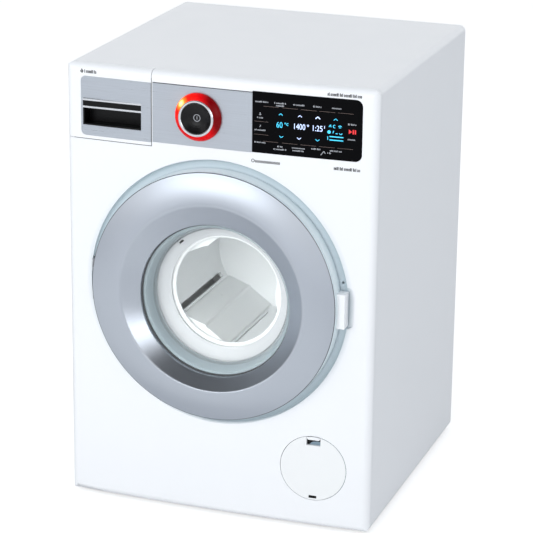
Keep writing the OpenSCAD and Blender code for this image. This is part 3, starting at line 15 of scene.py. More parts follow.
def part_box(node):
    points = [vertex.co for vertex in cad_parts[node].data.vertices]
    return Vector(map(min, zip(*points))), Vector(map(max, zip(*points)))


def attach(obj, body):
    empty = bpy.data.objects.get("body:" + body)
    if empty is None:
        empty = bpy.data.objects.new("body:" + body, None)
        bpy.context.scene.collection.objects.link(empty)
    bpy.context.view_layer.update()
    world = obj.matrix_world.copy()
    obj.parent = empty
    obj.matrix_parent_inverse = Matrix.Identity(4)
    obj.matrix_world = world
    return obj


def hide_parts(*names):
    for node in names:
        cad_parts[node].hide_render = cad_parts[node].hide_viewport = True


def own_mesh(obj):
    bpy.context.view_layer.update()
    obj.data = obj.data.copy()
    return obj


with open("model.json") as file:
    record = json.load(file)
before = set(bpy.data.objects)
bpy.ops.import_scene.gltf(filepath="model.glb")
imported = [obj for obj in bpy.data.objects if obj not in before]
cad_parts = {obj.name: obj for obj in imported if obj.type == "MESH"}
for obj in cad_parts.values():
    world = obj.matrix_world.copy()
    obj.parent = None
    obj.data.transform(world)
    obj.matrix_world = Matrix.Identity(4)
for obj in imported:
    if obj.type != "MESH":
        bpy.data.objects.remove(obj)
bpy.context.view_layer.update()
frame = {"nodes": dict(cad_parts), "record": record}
MM = 0.001

# ---- the object's own measures, from the CAD frame --------------------------------------------

def span(node, axis):
    """From where to where a CAD node reaches. Meshes are faceted, so both ends go to the nearest 0.05."""
    number = "xyz".index(axis)
    return [round(corner[number] / MM * 20) / 20 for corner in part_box(node)]


def middle(node, axis):
    """Halfway between a CAD node's two ends."""
    return sum(span(node, axis)) / 2


FRONT_Y = span("front_panel", "y")[0]               # foremost line of the bowed front
BACK_Y = span("back_cover", "y")[1]
BOW_R = 1694.0                                      # radius of the front's bow

RING_Z = middle("door_trim", "z")                   # height of the door ring's axis
RING_R = span("door_trim", "x")[1]
RING_EDGE_P = 8.3                                   # front of the ring at its outer edge
RING_SIDE_P = RING_EDGE_P - 1.6                     # back of the ring's silver side
BEVEL_R = RING_R - 18.1                             # the bevel falls from here to the lip
CREST_R = BEVEL_R + 1.0
CREST_P = FRONT_Y - span("door_trim", "y")[0]
LIP_R = RING_R - 28.1
LIP_P = 4.0
LIP_T = 1.8
DISH_R = RING_R + 4.5                               # the dish in the front that the ring sits in

WINDOW_Z = middle("door_window", "z")               # height of the window's axis
WINDOW_T = 1.6
FLANGE_R = span("door_window", "x")[1]
FLANGE_P = FRONT_Y - span("door_window", "y")[0]
BOWL_R = FLANGE_R - 6.8                             # outside of the window's bowl
BOWL_BACK_P = FRONT_Y - span("door_window", "y")[1]

KNOB_X = middle("knob_collar", "x")
KNOB_Z = middle("knob_collar", "z")
LED_ANGLE = 140                                     # place of the brightest lamp, in degrees from the right
LED_RING = 12.0                                     # its distance from the selector's axis
LED_P = 3.4                                         # middle of its glow
BUTTON_R = span("button_cap", "x")[1] - KNOB_X
BUTTON_P = 2.6                                      # bottom of the button's hollow

STRIP_LEFT = span("fascia_plate", "x")[0]
STRIP_TOP = span("fascia_plate", "z")[1]
DISPLAY_CORNER = (span("display_lens", "x")[0], span("display_lens", "z")[0])     # lower left
DRAWER_CORNER = (span("drawer_front", "x")[1], span("drawer_front", "z")[0])      # lower right

FLAP_X = middle("flap", "x")
FLAP_R = span("flap", "x")[1] - FLAP_X
FLAP_TOP = span("flap", "z")[0] + 2 * FLAP_R        # of its circle, which the notch cuts into


def bow(x):
    """How far the front's surface has fallen back at x."""
    return BOW_R - math.sqrt(BOW_R ** 2 - x ** 2)


def front(x, z, proud):
    """Point at x and z, standing proud of the bowed front."""
    return Vector((x, FRONT_Y + bow(x) - proud, z))


def plane(x, z, p):
    """Point at x and z, a distance p in front of the flat front plane."""
    return Vector((x, FRONT_Y - p, z))


def circle(r, z, p, around):
    """Points around a level axis at x = 0 and height z."""
    turns = [math.tau * j / around for j in range(around)]
    return [plane(r * math.cos(a), z + r * math.sin(a), p) for a in turns]


# ---- camera -----------------------------------------------------------------------------------

CAMERA_PLACE = (447.44, -1273.07, 570.98)
CAMERA_TURN = (71.7828, -0.6354, 19.5755)    # degrees about x, y and z


def add_camera():
    """The camera stands to the right, above and well in front of the machine."""
    data = bpy.data.cameras.new("camera")
    data.sensor_width = 36
    data.lens = 160.45
    data.clip_start = 0.1
    data.clip_end = 20
    turn = Euler([math.radians(angle) for angle in CAMERA_TURN]).to_matrix().to_4x4()
    camera = bpy.data.objects.new("camera", data)
    camera.matrix_world = Matrix.Translation(Vector(CAMERA_PLACE) * MM) @ turn
    bpy.context.scene.collection.objects.link(camera)
    bpy.context.scene.camera = camera


# ---- colours and node trees -------------------------------------------------------------------

def linear(*screen):
    """Linear colour of an 8-bit screen colour."""
    shares = [level / 255 for level in screen]
    return tuple(c / 12.92 if c <= 0.04 else ((c + 0.055) / 1.055) ** 2.4 for c in shares)


def scaled(colour, times):
    """The same hue, lighter or darker."""
    return tuple(min(1, c * times) for c in colour)


class Tree:
    """Short hand for adding nodes to a node tree."""

    # socket numbers of a Mix node that mixes colours
    FACTOR, FIRST, SECOND, RESULT = 0, 6, 7, 2

    def __init__(self, tree):
        self.tree = tree

    def new(self, kind, **values):
        node = self.tree.nodes.new(kind)
        for key, value in values.items():
            setattr(node, key, value)
        return node

    def link(self, source, target):
        self.tree.links.new(source, target)

    def mix(self, factor, first, second):
        """Goes from the first colour to the second. Each is a plain colour or a socket."""
        node = self.new("ShaderNodeMix", data_type="RGBA")
        self.link(factor, node.inputs[self.FACTOR])
        for number, colour in ((self.FIRST, first), (self.SECOND, second)):
            if isinstance(colour, tuple):
                node.inputs[number].default_value = (*colour, 1)
            else:
                self.link(colour, node.inputs[number])
        return node.outputs[self.RESULT]

    def blend(self, factor, first, second):
        """Goes from the first shader to the second."""
        node = self.new("ShaderNodeMixShader")
        for number, socket in enumerate((factor, first, second)):
            self.link(socket, node.inputs[number])
        return node.outputs[0]

    def combine(self, operation, sockets):
        """Takes several numbers together with Math nodes."""
        total, *rest = sockets
        for socket in rest:
            node = self.new("ShaderNodeMath", operation=operation)
            self.link(total, node.inputs[0])
            self.link(socket, node.inputs[1])
            total = node.outputs[0]
        return total

    def rays(self, *kinds):
        """1 for any of the named kinds of ray."""
        path = self.new("ShaderNodeLightPath")
        return self.combine("MAXIMUM", [path.outputs[kind] for kind in kinds])


class Surface(Tree):
    """A material that is built around its Principled shader. Its points are in the object's frame."""

    def __init__(self, name):
        self.material = bpy.data.materials.new(name)
        self.material.use_nodes = True
        super().__init__(self.material.node_tree)
        self.shader = self.tree.nodes["Principled BSDF"]
        self.place = self.new("ShaderNodeTexCoord").outputs["Object"]

    def set(self, **values):
        """Constant values on the shader's own sockets; underscores stand for spaces."""
        for key, value in values.items():
            self.shader.inputs[key.replace("_", " ")].default_value = value

    def feed(self, **sockets):
        """Links to the shader's own sockets; underscores stand for spaces."""
        for key, socket in sockets.items():
            self.link(socket, self.shader.inputs[key.replace("_", " ")])

    def stretched(self, *scale):
        """The place, with its three axes scaled."""
        mapping = self.new("ShaderNodeMapping")
        mapping.inputs["Scale"].default_value = scale
        self.link(self.place, mapping.inputs["Vector"])
        return mapping.outputs["Vector"]

    def noise(self, size, detail, place=None, rough=0.5):
        """Soft noise with patches of a size in millimetres and a number of finer layers."""
        node = self.new("ShaderNodeTexNoise")
        node.inputs["Scale"].default_value = 1 / (size * MM)
        node.inputs["Detail"].default_value = detail
        node.inputs["Roughness"].default_value = rough
        self.link(place or self.place, node.inputs["Vector"])
        return node.outputs["Fac"]

    def ramp(self, factor, low, high, start=0.3, end=0.7):
        """Goes from low to high while the factor goes from start to end."""
        node = self.new("ShaderNodeMapRange")
        for key, value in (("From Min", start), ("From Max", end), ("To Min", low), ("To Max", high)):
            node.inputs[key].default_value = value
        self.link(factor, node.inputs["Value"])
        return node.outputs["Result"]

    def fade(self, distance, start, end, low=0, high=1):
        """Goes from low to high between two distances in millimetres."""
        return self.ramp(distance, low, high, start * MM, end * MM)

    def along(self, axis):
        """How far the point lies along an axis."""
        parts = self.new("ShaderNodeSeparateXYZ")
        self.link(self.place, parts.inputs[0])
        return parts.outputs[axis]

    def to_spot(self, place, spot):
        """Distance from a place to a fixed spot."""
        node = self.new("ShaderNodeVectorMath", operation="DISTANCE")
        node.inputs[1].default_value = Vector(spot) * MM
        self.link(place, node.inputs[0])
        return node.outputs["Value"]

    def to_axis(self, z):
        """Distance to a level axis that runs from front to back at x = 0 and height z."""
        flat = self.new("ShaderNodeCombineXYZ")
        for axis in "XZ":
            self.link(self.along(axis), flat.inputs[axis])
        return self.to_spot(flat.outputs[0], (0, 0, z))

    def tint(self, factor, colour, spread):
        """Colour that drifts a little lighter and darker."""
        return self.mix(factor, scaled(colour, 1 - spread), scaled(colour, 1 + spread))

    def gloss(self, factor, low, high):
        """Roughness that drifts between two values."""
        self.feed(Roughness=self.ramp(factor, low, high))

    def bump(self, height, strength, distance):
        """Relief with a depth in millimetres."""
        node = self.new("ShaderNodeBump")
        node.inputs["Strength"].default_value = strength
        node.inputs["Distance"].default_value = distance * MM
        self.link(height, node.inputs["Height"])
        self.feed(Normal=node.outputs["Normal"])


# ---- materials --------------------------------------------------------------------------------

def moulded(name, colour, rough=0.35, peel=0.02, grain=0.9, spread=0.012, coat=0.0, level=0.5):
    """Moulded plastic: faint flow shading, fine orange peel and uneven gloss."""
    look = Surface(name)
    look.set(Specular_IOR_Level=level, Coat_Weight=coat, Coat_Roughness=0.12)
    look.feed(Base_Color=look.tint(look.noise(60, 2), colour, spread))
    look.gloss(look.noise(14, 4), rough * 0.86, rough * 1.16)
    look.bump(look.noise(grain, 5), 0.35, peel)
    return look.material


def white_moulding(name, colour, rim, dish):
    """The cabinet's white. The door's rim is a little cooler, a painted reflection of the teal dish, and the
    dish around it has painted shade that deepens outwards.
    """
    look = Surface(name)
    look.set(Specular_IOR_Level=0.5, Coat_Weight=0.15, Coat_Roughness=0.12)
    away = look.to_axis(RING_Z)
    depth = look.along("Y")
    dish_foot = DISH_R - 1.1
    dish_top = DISH_R + 2.9
    # the dish lies behind the front's surface and before the parts at its back
    in_dish = look.combine("MULTIPLY", (look.fade(away, dish_foot, dish_top, 1, 0),
                                        look.fade(depth, FRONT_Y + 0.5, FRONT_Y + 3.0),
                                        look.fade(depth, FRONT_Y + 5.25, FRONT_Y + 6.25, 1, 0)))
    body = look.mix(look.noise(60, 2), scaled(colour, 0.988), colour)
    # painted reflection: parts within the door's rim take a cooler tint, as if the teal dish lit them
    with_rim_reflection = look.mix(look.fade(away, RING_R + 0.1, RING_R + 0.3, 1, 0), body, rim)
    # painted shade: the dish is tinted teal, lighter by the ring and darker outwards
    shade = look.mix(look.fade(away, RING_R + 0.7, dish_foot), *dish)
    look.feed(Base_Color=look.mix(in_dish, with_rim_reflection, shade))
    look.gloss(look.noise(14, 4), 0.28, 0.37)
    look.bump(look.noise(0.9, 5), 0.35, 0.015)
    return look.material


def satin_silver(name, colour, wall, rough=0.3):
    """Silver paint with a painted shade line at its rounded edge. The ring's outer wall keeps its pale
    moulding, with a painted teal reflection of the dish.
    """
    look = Surface(name)
    away = look.to_axis(RING_Z)
    edge = (RING_R - 0.12, RING_R - 0.03)
    paint = look.tint(look.noise(40, 2), colour, 0.02)
    # painted shade: a dark line on the ring's rounded outer edge
    with_edge_shade = look.mix(look.fade(away, RING_R - 0.52, RING_R - 0.46), paint, scaled(colour, 0.3))
    # the outer wall is pale moulding with a painted teal reflection of the dish
    look.feed(Base_Color=look.mix(look.fade(away, *edge), with_edge_shade, wall),
              Metallic=look.fade(away, *edge, 0.86, 0))
    look.gloss(look.noise(40, 1), rough * 0.94, rough * 1.07)
    look.bump(look.noise(2.5, 2), 0.1, 0.01)
    return look.material


def brushed(name, colour, rough=0.33):
    """Silver foil with long level brush lines."""
    look = Surface(name)
    look.set(Metallic=0.7, Anisotropic=0.35)
    lines = look.noise(1.0, 4, look.stretched(0.02, 1, 3.2), 0.7)
    look.feed(Base_Color=look.tint(look.ramp(lines, 0, 1), colour, 0.06))
    look.gloss(lines, rough * 0.8, rough * 1.25)
    look.bump(lines, 0.5, 0.02)
    return look.material


def plated(name, colour, rough=0.09):
    """Bright plating with faint waves."""
    look = Surface(name)
    look.set(Metallic=0.8)
    look.feed(Base_Color=look.tint(look.noise(8, 2), colour, 0.02))
    look.gloss(look.noise(3, 4), rough * 0.7, rough * 1.5)
    look.bump(look.noise(1.5, 3), 0.15, 0.01)
    return look.material


def bare_metal(name, colour, rough=0.32):
    """Turned or drawn metal with fine scratches."""
    look = Surface(name)
    look.set(Metallic=1.0)
    scratches = look.noise(0.6, 5, look.stretched(1, 1, 0.12))
    look.feed(Base_Color=look.tint(scratches, colour, 0.08))
    look.gloss(scratches, rough * 0.75, rough * 1.3)
    look.bump(scratches, 0.3, 0.015)
    return look.material


def soft_rubber(name, colour):
    """Dull rubber with a fine grain."""
    look = Surface(name)
    look.set(Specular_IOR_Level=0.35, Sheen_Weight=0.15, Sheen_Roughness=0.5)
    look.feed(Base_Color=look.tint(look.noise(5, 4), colour, 0.12))
    look.gloss(look.noise(2, 4), 0.6, 0.85)
    look.bump(look.noise(0.4, 5), 0.5, 0.03)
    return look.material


def clear_moulding(name, colour, wall, shadow):
    """Thin clear plastic; the bowl's side wall is thicker to look through and faintly blue-green, with a
    painted shade line at its foot.
    """
    look = Surface(name)
    look.set(Transmission_Weight=1.0, IOR=1.22, Specular_IOR_Level=0.8, Base_Color=(*colour, 1))
    look.gloss(look.noise(20, 3), 0.02, 0.06)
    look.bump(look.noise(9, 2), 0.2, 0.03)
    away = look.to_axis(WINDOW_Z)
    milky = look.new("ShaderNodeBsdfPrincipled")
    milky.inputs["Roughness"].default_value = 0.2
    # painted shade: a dark line where the side wall meets the floor
    look.link(look.mix(look.fade(away, BOWL_R - 1.5, BOWL_R - 0.9), *wall), milky.inputs["Base Color"])
    walled = look.blend(look.fade(away, BOWL_R - 2.5, BOWL_R - 1.6, 0, 0.5),
                        look.shader.outputs[0], milky.outputs[0])
    through = look.new("ShaderNodeBsdfTransparent")
    through.inputs["Color"].default_value = (*shadow, 1)
    look.link(look.blend(look.rays("Is Shadow Ray"), walled, through.outputs[0]),
              look.tree.nodes["Material Output"].inputs["Surface"])
    return look.material


def ink_or_painted_shade(name, colour, glow=0.0):
    """Ink of a screen print, lit ink, or painted shade for seams and hollows, with slightly uneven cover."""
    look = Surface(name)
    cover = look.noise(0.5, 3)
    look.feed(Base_Color=look.tint(cover, colour, 0.06))
    look.gloss(cover, 0.35, 0.55)
    if glow:
        look.set(Emission_Color=(*colour, 1), Emission_Strength=glow)
    return look.material


def painted_glow_collar(name, lit, dim):
    """Red translucent plastic with a painted glow around the lamp at its upper left, and painted shade that
    darkens its right.
    """
    painted_glow_reach = 20
    painted_glow_colours = ((0.0, (1.0, 0.95, 0.6)), (0.07, (1.0, 0.75, 0.2)), (0.13, (1.0, 0.22, 0.02)),
                    (0.24, (0.5, 0.012, 0.004)), (0.6, (0.1, 0.0, 0.001)))
    toward_painted_shade = (0.96, 0, 0.28)
    shade_from, shade_to = 5.5, 10
    look = Surface(name)
    look.set(Specular_IOR_Level=0.12, Emission_Strength=1.6)
    look.gloss(look.noise(3, 3), 0.22, 0.34)
    look.bump(look.noise(1.2, 3), 0.2, 0.015)
    angle = math.radians(LED_ANGLE)
    lamp = plane(KNOB_X + LED_RING * math.cos(angle), KNOB_Z + LED_RING * math.sin(angle), LED_P)
    glow = look.new("ShaderNodeValToRGB")
    stops = glow.color_ramp.elements
    while len(stops) < len(painted_glow_colours):
        stops.new(0.5)
    for stop, (where, colour) in zip(stops, painted_glow_colours):
        stop.position = where
        stop.color = (*colour, 1)
    # painted glow: emission that stands in for the lamp's light through the plastic
    look.link(look.fade(look.to_spot(look.place, lamp), 0, painted_glow_reach), glow.inputs["Fac"])
    from_middle = look.new("ShaderNodeVectorMath", operation="SUBTRACT")
    from_middle.inputs[1].default_value = plane(KNOB_X, KNOB_Z, 0) * MM
    look.link(look.place, from_middle.inputs[0])
    rightwards = look.new("ShaderNodeVectorMath", operation="DOT_PRODUCT")
    rightwards.inputs[1].default_value = toward_painted_shade
    look.link(from_middle.outputs[0], rightwards.inputs[0])
    # painted shade: the red goes darker towards the right
    look.feed(Base_Color=look.mix(look.fade(rightwards.outputs["Value"], shade_from, shade_to), lit, dim),
              Emission_Color=glow.outputs["Color"])
    return look.material


# for each material slot of the record: what makes it, and with which values
LOOKS = {
    # rim is a painted reflection of the dish; dish holds the painted shade, from near the ring to outwards
    "white_body": (white_moulding, dict(colour=linear(243, 245, 248), rim=linear(236, 247, 251),
                                        dish=(linear(209, 222, 229), linear(183, 198, 205)))),
    "white_back": (moulded, dict(colour=linear(236, 237, 238), rough=0.5, peel=0.04, grain=0.5)),
    "white_inner": (moulded, dict(colour=linear(239, 241, 242), rough=0.42)),
    "collar_white": (moulded, dict(colour=linear(198, 200, 203), rough=0.36, peel=0.015)),
    # the dark edge line is painted shade; the wall's teal cast is a painted reflection
    "silver_ring": (satin_silver, dict(colour=linear(197, 203, 212), wall=linear(228, 242, 249))),
    "silver_strip": (brushed, dict(colour=linear(197, 203, 211))),
    "silver_trim": (plated, dict(colour=linear(232, 234, 237), rough=0.16)),
    # the wall's first tone is the painted shade line at the bowl's edge
    "clear_window": (clear_moulding, dict(colour=linear(251, 252, 252), shadow=linear(246, 249, 249),
                                          wall=(linear(112, 122, 126), linear(192, 208, 214)))),
    "dark_display": (moulded, dict(colour=linear(4, 4, 6), rough=0.2, peel=0.004, grain=2.0,
                                   spread=0.3, level=0.07)),
    # dim is the red of the painted shade at the collar's right
    "red_collar": (painted_glow_collar, dict(lit=linear(208, 3, 8), dim=linear(52, 2, 3))),
    "black_button": (moulded, dict(colour=linear(10, 10, 12), rough=0.26, peel=0.005, grain=1.5,
                                   spread=0.25, level=0.3)),
    "black_pocket": (moulded, dict(colour=linear(9, 9, 10), rough=0.3, peel=0.01, grain=0.8,
                                   spread=0.25, level=0.25)),
    "grey_rubber": (soft_rubber, dict(colour=linear(88, 90, 92))),
    "drum_metal": (moulded, dict(colour=linear(243, 245, 246), rough=0.34, peel=0.012, grain=0.7,
                                 spread=0.02, level=0.6)),
    "paddle_plastic": (moulded, dict(colour=linear(240, 242, 242), rough=0.4, peel=0.015)),
    "steel": (bare_metal, dict(colour=linear(178, 180, 184))),
    "bearing_bronze": (bare_metal, dict(colour=linear(176, 136, 78), rough=0.4)),
    "gear_plastic": (moulded, dict(colour=linear(226, 225, 214), rough=0.42, peel=0.015)),
    "board_green": (moulded, dict(colour=linear(24, 92, 52), peel=0.01, grain=0.5, spread=0.12)),
    "switch_grey": (moulded, dict(colour=linear(60, 61, 65), rough=0.5, grain=0.5, spread=0.08)),
    "lamp_red": (moulded, dict(colour=linear(225, 40, 36), rough=0.15, peel=0.005, grain=1.0,
                               spread=0.1, coat=0.4)),
    "cell_wrap": (moulded, dict(colour=linear(96, 102, 112), rough=0.3, peel=0.01, grain=1.0,
                                spread=0.05, coat=0.3)),
    "wire_red": (moulded, dict(colour=linear(150, 26, 22), rough=0.4, peel=0.01, grain=0.6, spread=0.1)),
}
MATERIALS = {name: make(name, **values) for name, (make, values) in LOOKS.items()}

INK_GREY = ink_or_painted_shade("ink_grey", linear(26, 28, 32))
INK_WHITE = ink_or_painted_shade("ink_white", linear(168, 171, 177))
INK_DIM = ink_or_painted_shade("ink_dim", linear(120, 104, 98))
LIT_CYAN = ink_or_painted_shade("lit_cyan", linear(64, 196, 232), 0.75)
LIT_BLUE = ink_or_painted_shade("lit_blue", linear(196, 214, 255), 0.95)
LIT_RED = ink_or_painted_shade("lit_red", linear(214, 44, 48), 0.6)
# painted shadow in the seams
SEAM_SHADOW = ink_or_painted_shade("painted_seam_shadow", linear(44, 46, 52))
# painted shadow for the flap's seam, and painted shade for the hollow behind its notch
FLAP_SHADOW = ink_or_painted_shade("flap_seam_shadow", linear(84, 104, 112))
TAB_SHADE = ink_or_painted_shade("tab_painted_shade", linear(124, 146, 160))


def paint_frame():
    """Gives every CAD node the material of its slot in the record."""
    slots = {part["node"]: part["material_slot"] for part in frame["record"]["subparts"]}
    for name, obj in frame["nodes"].items():
        for place in obj.material_slots:
            place.material = MATERIALS[slots[name]]


# ---- building pieces --------------------------------------------------------------------------

def piece(name, points, faces, material, body, smooth=True, replaced=()):
    """One mesh piece from points in millimetres, riding on a CAD body."""
    mesh = bpy.data.meshes.new(name)
    mesh.from_pydata([tuple(point * MM) for point in points], [], faces)
    mesh.validate()
    work = bmesh.new()
    work.from_mesh(mesh)
    bmesh.ops.recalc_face_normals(work, faces=work.faces)
    work.to_mesh(mesh)
    work.free()
    mesh.materials.append(material)
    if smooth:
        mesh.shade_smooth()
    obj = bpy.data.objects.new(name, mesh)
    bpy.context.scene.collection.objects.link(obj)
    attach(obj, body)
    if replaced:
        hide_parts(*replaced)
    return obj


def lathe(rings, name, material, body, closed=True, replaced=()):
    """Skin over rings of points, each ring as long as the next. A closed one joins its two end rings."""
    count = len(rings[0])
    faces = []
    for i in range(len(rings) if closed else len(rings) - 1):
        low = i * count
        high = (i + 1) % len(rings) * count
        for j in range(count):
            k = (j + 1) % count
            faces.append((low + j, low + k, high + k, high + j))
    points = [point for ring in rings for point in ring]
    return piece(name, points, faces, material, body, replaced=replaced)


class Marks:
    """Flat raised marks on the front, gathered into one piece for each ink or painted shade. Places are from
    an origin.
    """

    THICK = 0.06    # how far a mark stands proud
    SUNK = 0.03     # how far it reaches into the surface, so that it has no gap behind it

    def __init__(self, origin, lift=0.0, surface=front):
        self.origin = origin
        self.lift = lift
        self.surface = surface
        self.points = []
        self.faces = []

    def point(self, x, z, proud):
        """Point of the surface at a place, standing proud of it."""
        return self.surface(self.origin[0] + x, self.origin[1] + z, proud)

    def prism(self, outline, thick=THICK, lift=None):
        """Outline of (x, z) points, drawn as a thin prism that sits on the surface."""
        lift = self.lift if lift is None else lift
        start = len(self.points)
        count = len(outline)
        for proud in (-self.SUNK, thick):
            self.points += [self.point(x, z, lift + proud) for x, z in outline]
        self.faces.append(tuple(start + i for i in range(count))[::-1])
        self.faces.append(tuple(start + count + i for i in range(count)))
        for i in range(count):
            j = (i + 1) % count
            self.faces.append((start + i, start + j, start + count + j, start + count + i))

    def block(self, x0, z0, x1, z1, lift=None):
        """Upright rectangle between two corners."""
        self.prism([(x0, z0), (x1, z0), (x1, z1), (x0, z1)], lift=lift)

    def bar(self, x0, z0, x1, z1, width):
        """Straight stroke between two points."""
        start = Vector((x0, z0))
        end = Vector((x1, z1))
        side = (end - start).normalized().orthogonal() * width / 2
        self.prism([tuple(start + side), tuple(start - side), tuple(end - side), tuple(end + side)])

    def path(self, points, width):
        """Straight strokes from point to point."""
        for start, end in zip(points, points[1:]):
            self.bar(*start, *end, width)

    def arc(self, x, z, r, start, end, width, steps):
        """Part of a circle, drawn as one curved stroke."""
        angles = [math.radians(start + (end - start) * i / steps) for i in range(steps + 1)]
        outer, inner = ([(x + edge * math.cos(a), z + edge * math.sin(a)) for a in angles]
                        for edge in (r + width / 2, r - width / 2))
        for i in range(steps):
            self.prism([outer[i], outer[i + 1], inner[i + 1], inner[i]])

    def ring(self, x, z, r, width, steps):
        """Whole circle, drawn as one stroke."""
        self.arc(x, z, r, 0, 360, width, steps)

    def disc(self, x, z, r, steps):
        """Filled circle."""
        turns = [math.tau * i / steps for i in range(steps)]
        self.prism([(x + r * math.cos(a), z + r * math.sin(a)) for a in turns])

    def text(self, words, x, z, size, squeeze):
        """Plain digits, with their middle at x and z."""
        curve = bpy.data.curves.new("digits", "FONT")
        curve.body = words
        curve.size = size * MM
        curve.align_x = "CENTER"
        curve.align_y = "CENTER"
        curve.extrude = self.THICK * MM / 2
        curve.resolution_u = 4
        obj = bpy.data.objects.new("digits", curve)
        bpy.context.scene.collection.objects.link(obj)
        mesh = obj.to_mesh()
        start = len(self.points)
        # the digits' own depth goes from -THICK / 2 to THICK / 2
        rise = self.lift + self.THICK / 3
        for vertex in mesh.vertices:
            at = vertex.co / MM
            self.points.append(self.point(x + at.x * squeeze, z + at.y, rise + at.z))
        self.faces += [tuple(start + i for i in face.vertices) for face in mesh.polygons]
        obj.to_mesh_clear()
        bpy.data.objects.remove(obj)
        bpy.data.curves.remove(curve)

    def done(self, name, material, body, slot):
        """Makes the piece of all that was drawn."""
        return piece(name, self.points, self.faces, material, body, smooth=False)


# ---- door -------------------------------------------------------------------------------------

def arc_points(r, p, radius, start, end, steps):
    """Points of an arc about a centre in the (r, p) plane, from one angle to another."""
    angles = [math.radians(start + (end - start) * i / steps) for i in range(steps + 1)]
    return [(r + radius * math.cos(a), p + radius * math.sin(a)) for a in angles]


def door_ring():
    """The silver ring: a broad convex face, a crisp crest and a bevel that falls to the lower-set window."""
    edge_round = 0.6
    bulge = 1.46
    face_steps = 40
    bevel_steps = 14
    shoulder = RING_R - edge_round
    back_p = LIP_P - LIP_T
    outer = arc_points(shoulder, RING_EDGE_P - edge_round, edge_round, 0, 80, 6)
    falls = [1 - i / face_steps for i in range(1, face_steps + 1)]
    face = [(CREST_R + (shoulder - CREST_R) * fall, CREST_P - (CREST_P - RING_EDGE_P) * fall ** bulge)
            for fall in falls]
    # (r, p, share) points, where a share of 0 is centred on the ring's axis and 1 on the window's
    profile = [(RING_R, RING_SIDE_P, 0), (RING_R, RING_SIDE_P + 0.05, 0)]
    profile += [(r, p, 0) for r, p in outer + face]
    profile += [(BEVEL_R + 0.45, CREST_P - 0.02, 0), (BEVEL_R + 0.12, CREST_P - 0.12, 0)]
    for i in range(bevel_steps):
        share = 0.03 + 0.93 * i / (bevel_steps - 1)
        profile.append((BEVEL_R + (LIP_R - BEVEL_R) * share, CREST_P + (LIP_P - CREST_P) * share, share))
    profile += [(LIP_R + 0.12, LIP_P + 0.1, 0.99), (LIP_R + 0.02, LIP_P - 0.12, 1), (LIP_R, LIP_P - 0.35, 1)]
    # the ring's hidden back
    profile += [(LIP_R, back_p + 0.05, 1), (LIP_R, back_p, 1), (LIP_R + 1.5, back_p, 1),
                (CREST_R + 0.5, CREST_P - 2.2, 0), (RING_R - 8, RING_EDGE_P - 0.6, 0),
                (RING_R - 1.8, RING_SIDE_P, 0), (RING_R - 0.05, RING_SIDE_P, 0)]
    around = 288
    rings = [circle(r, RING_Z + (WINDOW_Z - RING_Z) * share, p, around) for r, p, share in profile]
    lathe(rings, "door_ring", MATERIALS["silver_ring"], "door", replaced=("door_trim",))


def window_cup():
    """The clear bowl with smoothly rounded edges, set lower than the ring."""
    outer_round = 3.0
    inner_round = 2.2
    outer_foot = BOWL_R - outer_round
    inner_foot = BOWL_R - 3.6
    floor_p = BOWL_BACK_P + WINDOW_T
    flange_back = FLANGE_P - 1.55
    outer = arc_points(outer_foot, BOWL_BACK_P + outer_round, outer_round, -90, -8, 10)
    inner = arc_points(inner_foot, floor_p + inner_round, inner_round, -8, -90, 10)
    profile = [(r, BOWL_BACK_P) for r in (0.01, 1, 20, outer_foot - 1.2, outer_foot - 0.3)]
    profile += outer
    # the wall's slope outwards, the flange, and the slope back down inside
    profile += [(BOWL_R + 1.1, -3.2), (BOWL_R + 2.3, -0.6), (BOWL_R + 2.4, flange_back),
                (FLANGE_R - 0.1, flange_back), (FLANGE_R, flange_back + 0.1), (FLANGE_R, FLANGE_P - 0.05),
                (FLANGE_R - 0.1, FLANGE_P), (BOWL_R + 1.1, FLANGE_P), (BOWL_R + 0.8, FLANGE_P - 0.1),
                (BOWL_R - 0.4, -3.2)]
    profile += inner
    profile += [(r, floor_p) for r in (inner_foot - 0.3, inner_foot - 1.2, 20, 1, 0.01)]
    around = 192
    rings = [circle(r, WINDOW_Z, p, around) for r, p in profile]
    lathe(rings, "window_cup", MATERIALS["clear_window"], "door", replaced=("door_window",))


# ---- control strip ----------------------------------------------------------------------------

def button_surface(x, z, proud):
    """The button's hollow cap."""
    rim = BUTTON_R * 0.97
    rise = 2.3
    share = min(math.hypot(x - KNOB_X, z - KNOB_Z), rim) / rim
    return plane(x, z, BUTTON_P + rise * share ** 2 + proud)


def power_mark():
    """Ring and bar on the push button."""
    marks = Marks((KNOB_X, KNOB_Z), surface=button_surface)
    marks.ring(0, 0, 1.9, 0.36, 48)
    marks.bar(0, -0.9, 0, 0.9, 0.36)
    marks.done("power_mark", INK_WHITE, "button", "black_button")


def chevron(marks, x, z, up, wide=1.1, tall=0.95, width=0.32):
    """Arrow head that points up or down."""
    half = (tall if up else -tall) / 2
    marks.path([(x - wide, z - half), (x, z + half), (x + wide, z - half)], width)


def lettering(marks, x, z, width, height, pattern):
    """Small illegible print: a row of strokes of uneven width, as fine print looks from afar."""
    low = z - height / 2
    right = x + width / 2
    at = x - width / 2
    step = pattern
    while at < right - 0.3:
        step = (step * 7 + 3) % 11
        run = 0.32 + 0.07 * (step % 5)
        top = height * (1 if step % 3 == 0 else 0.78)
        marks.block(at, low, min(at + run, right), low + top)
        at += run + (0.22 if step % 6 else 0.6)


def lit_arrows(cyan, blue):
    """Arrow heads above and below the numbers."""
    above = 22.8
    below = 10.2
    chevron(cyan, 16.4, above, True)
    chevron(blue, 27.4, above, True)
    chevron(blue, 37.5, above, True, 1.3, 1.2, 0.5)
    chevron(cyan, 47.6, above - 0.1, True)
    chevron(cyan, 16.8, below, False)
    chevron(blue, 27.0, below, False)
    chevron(cyan, 37.5, below, False)


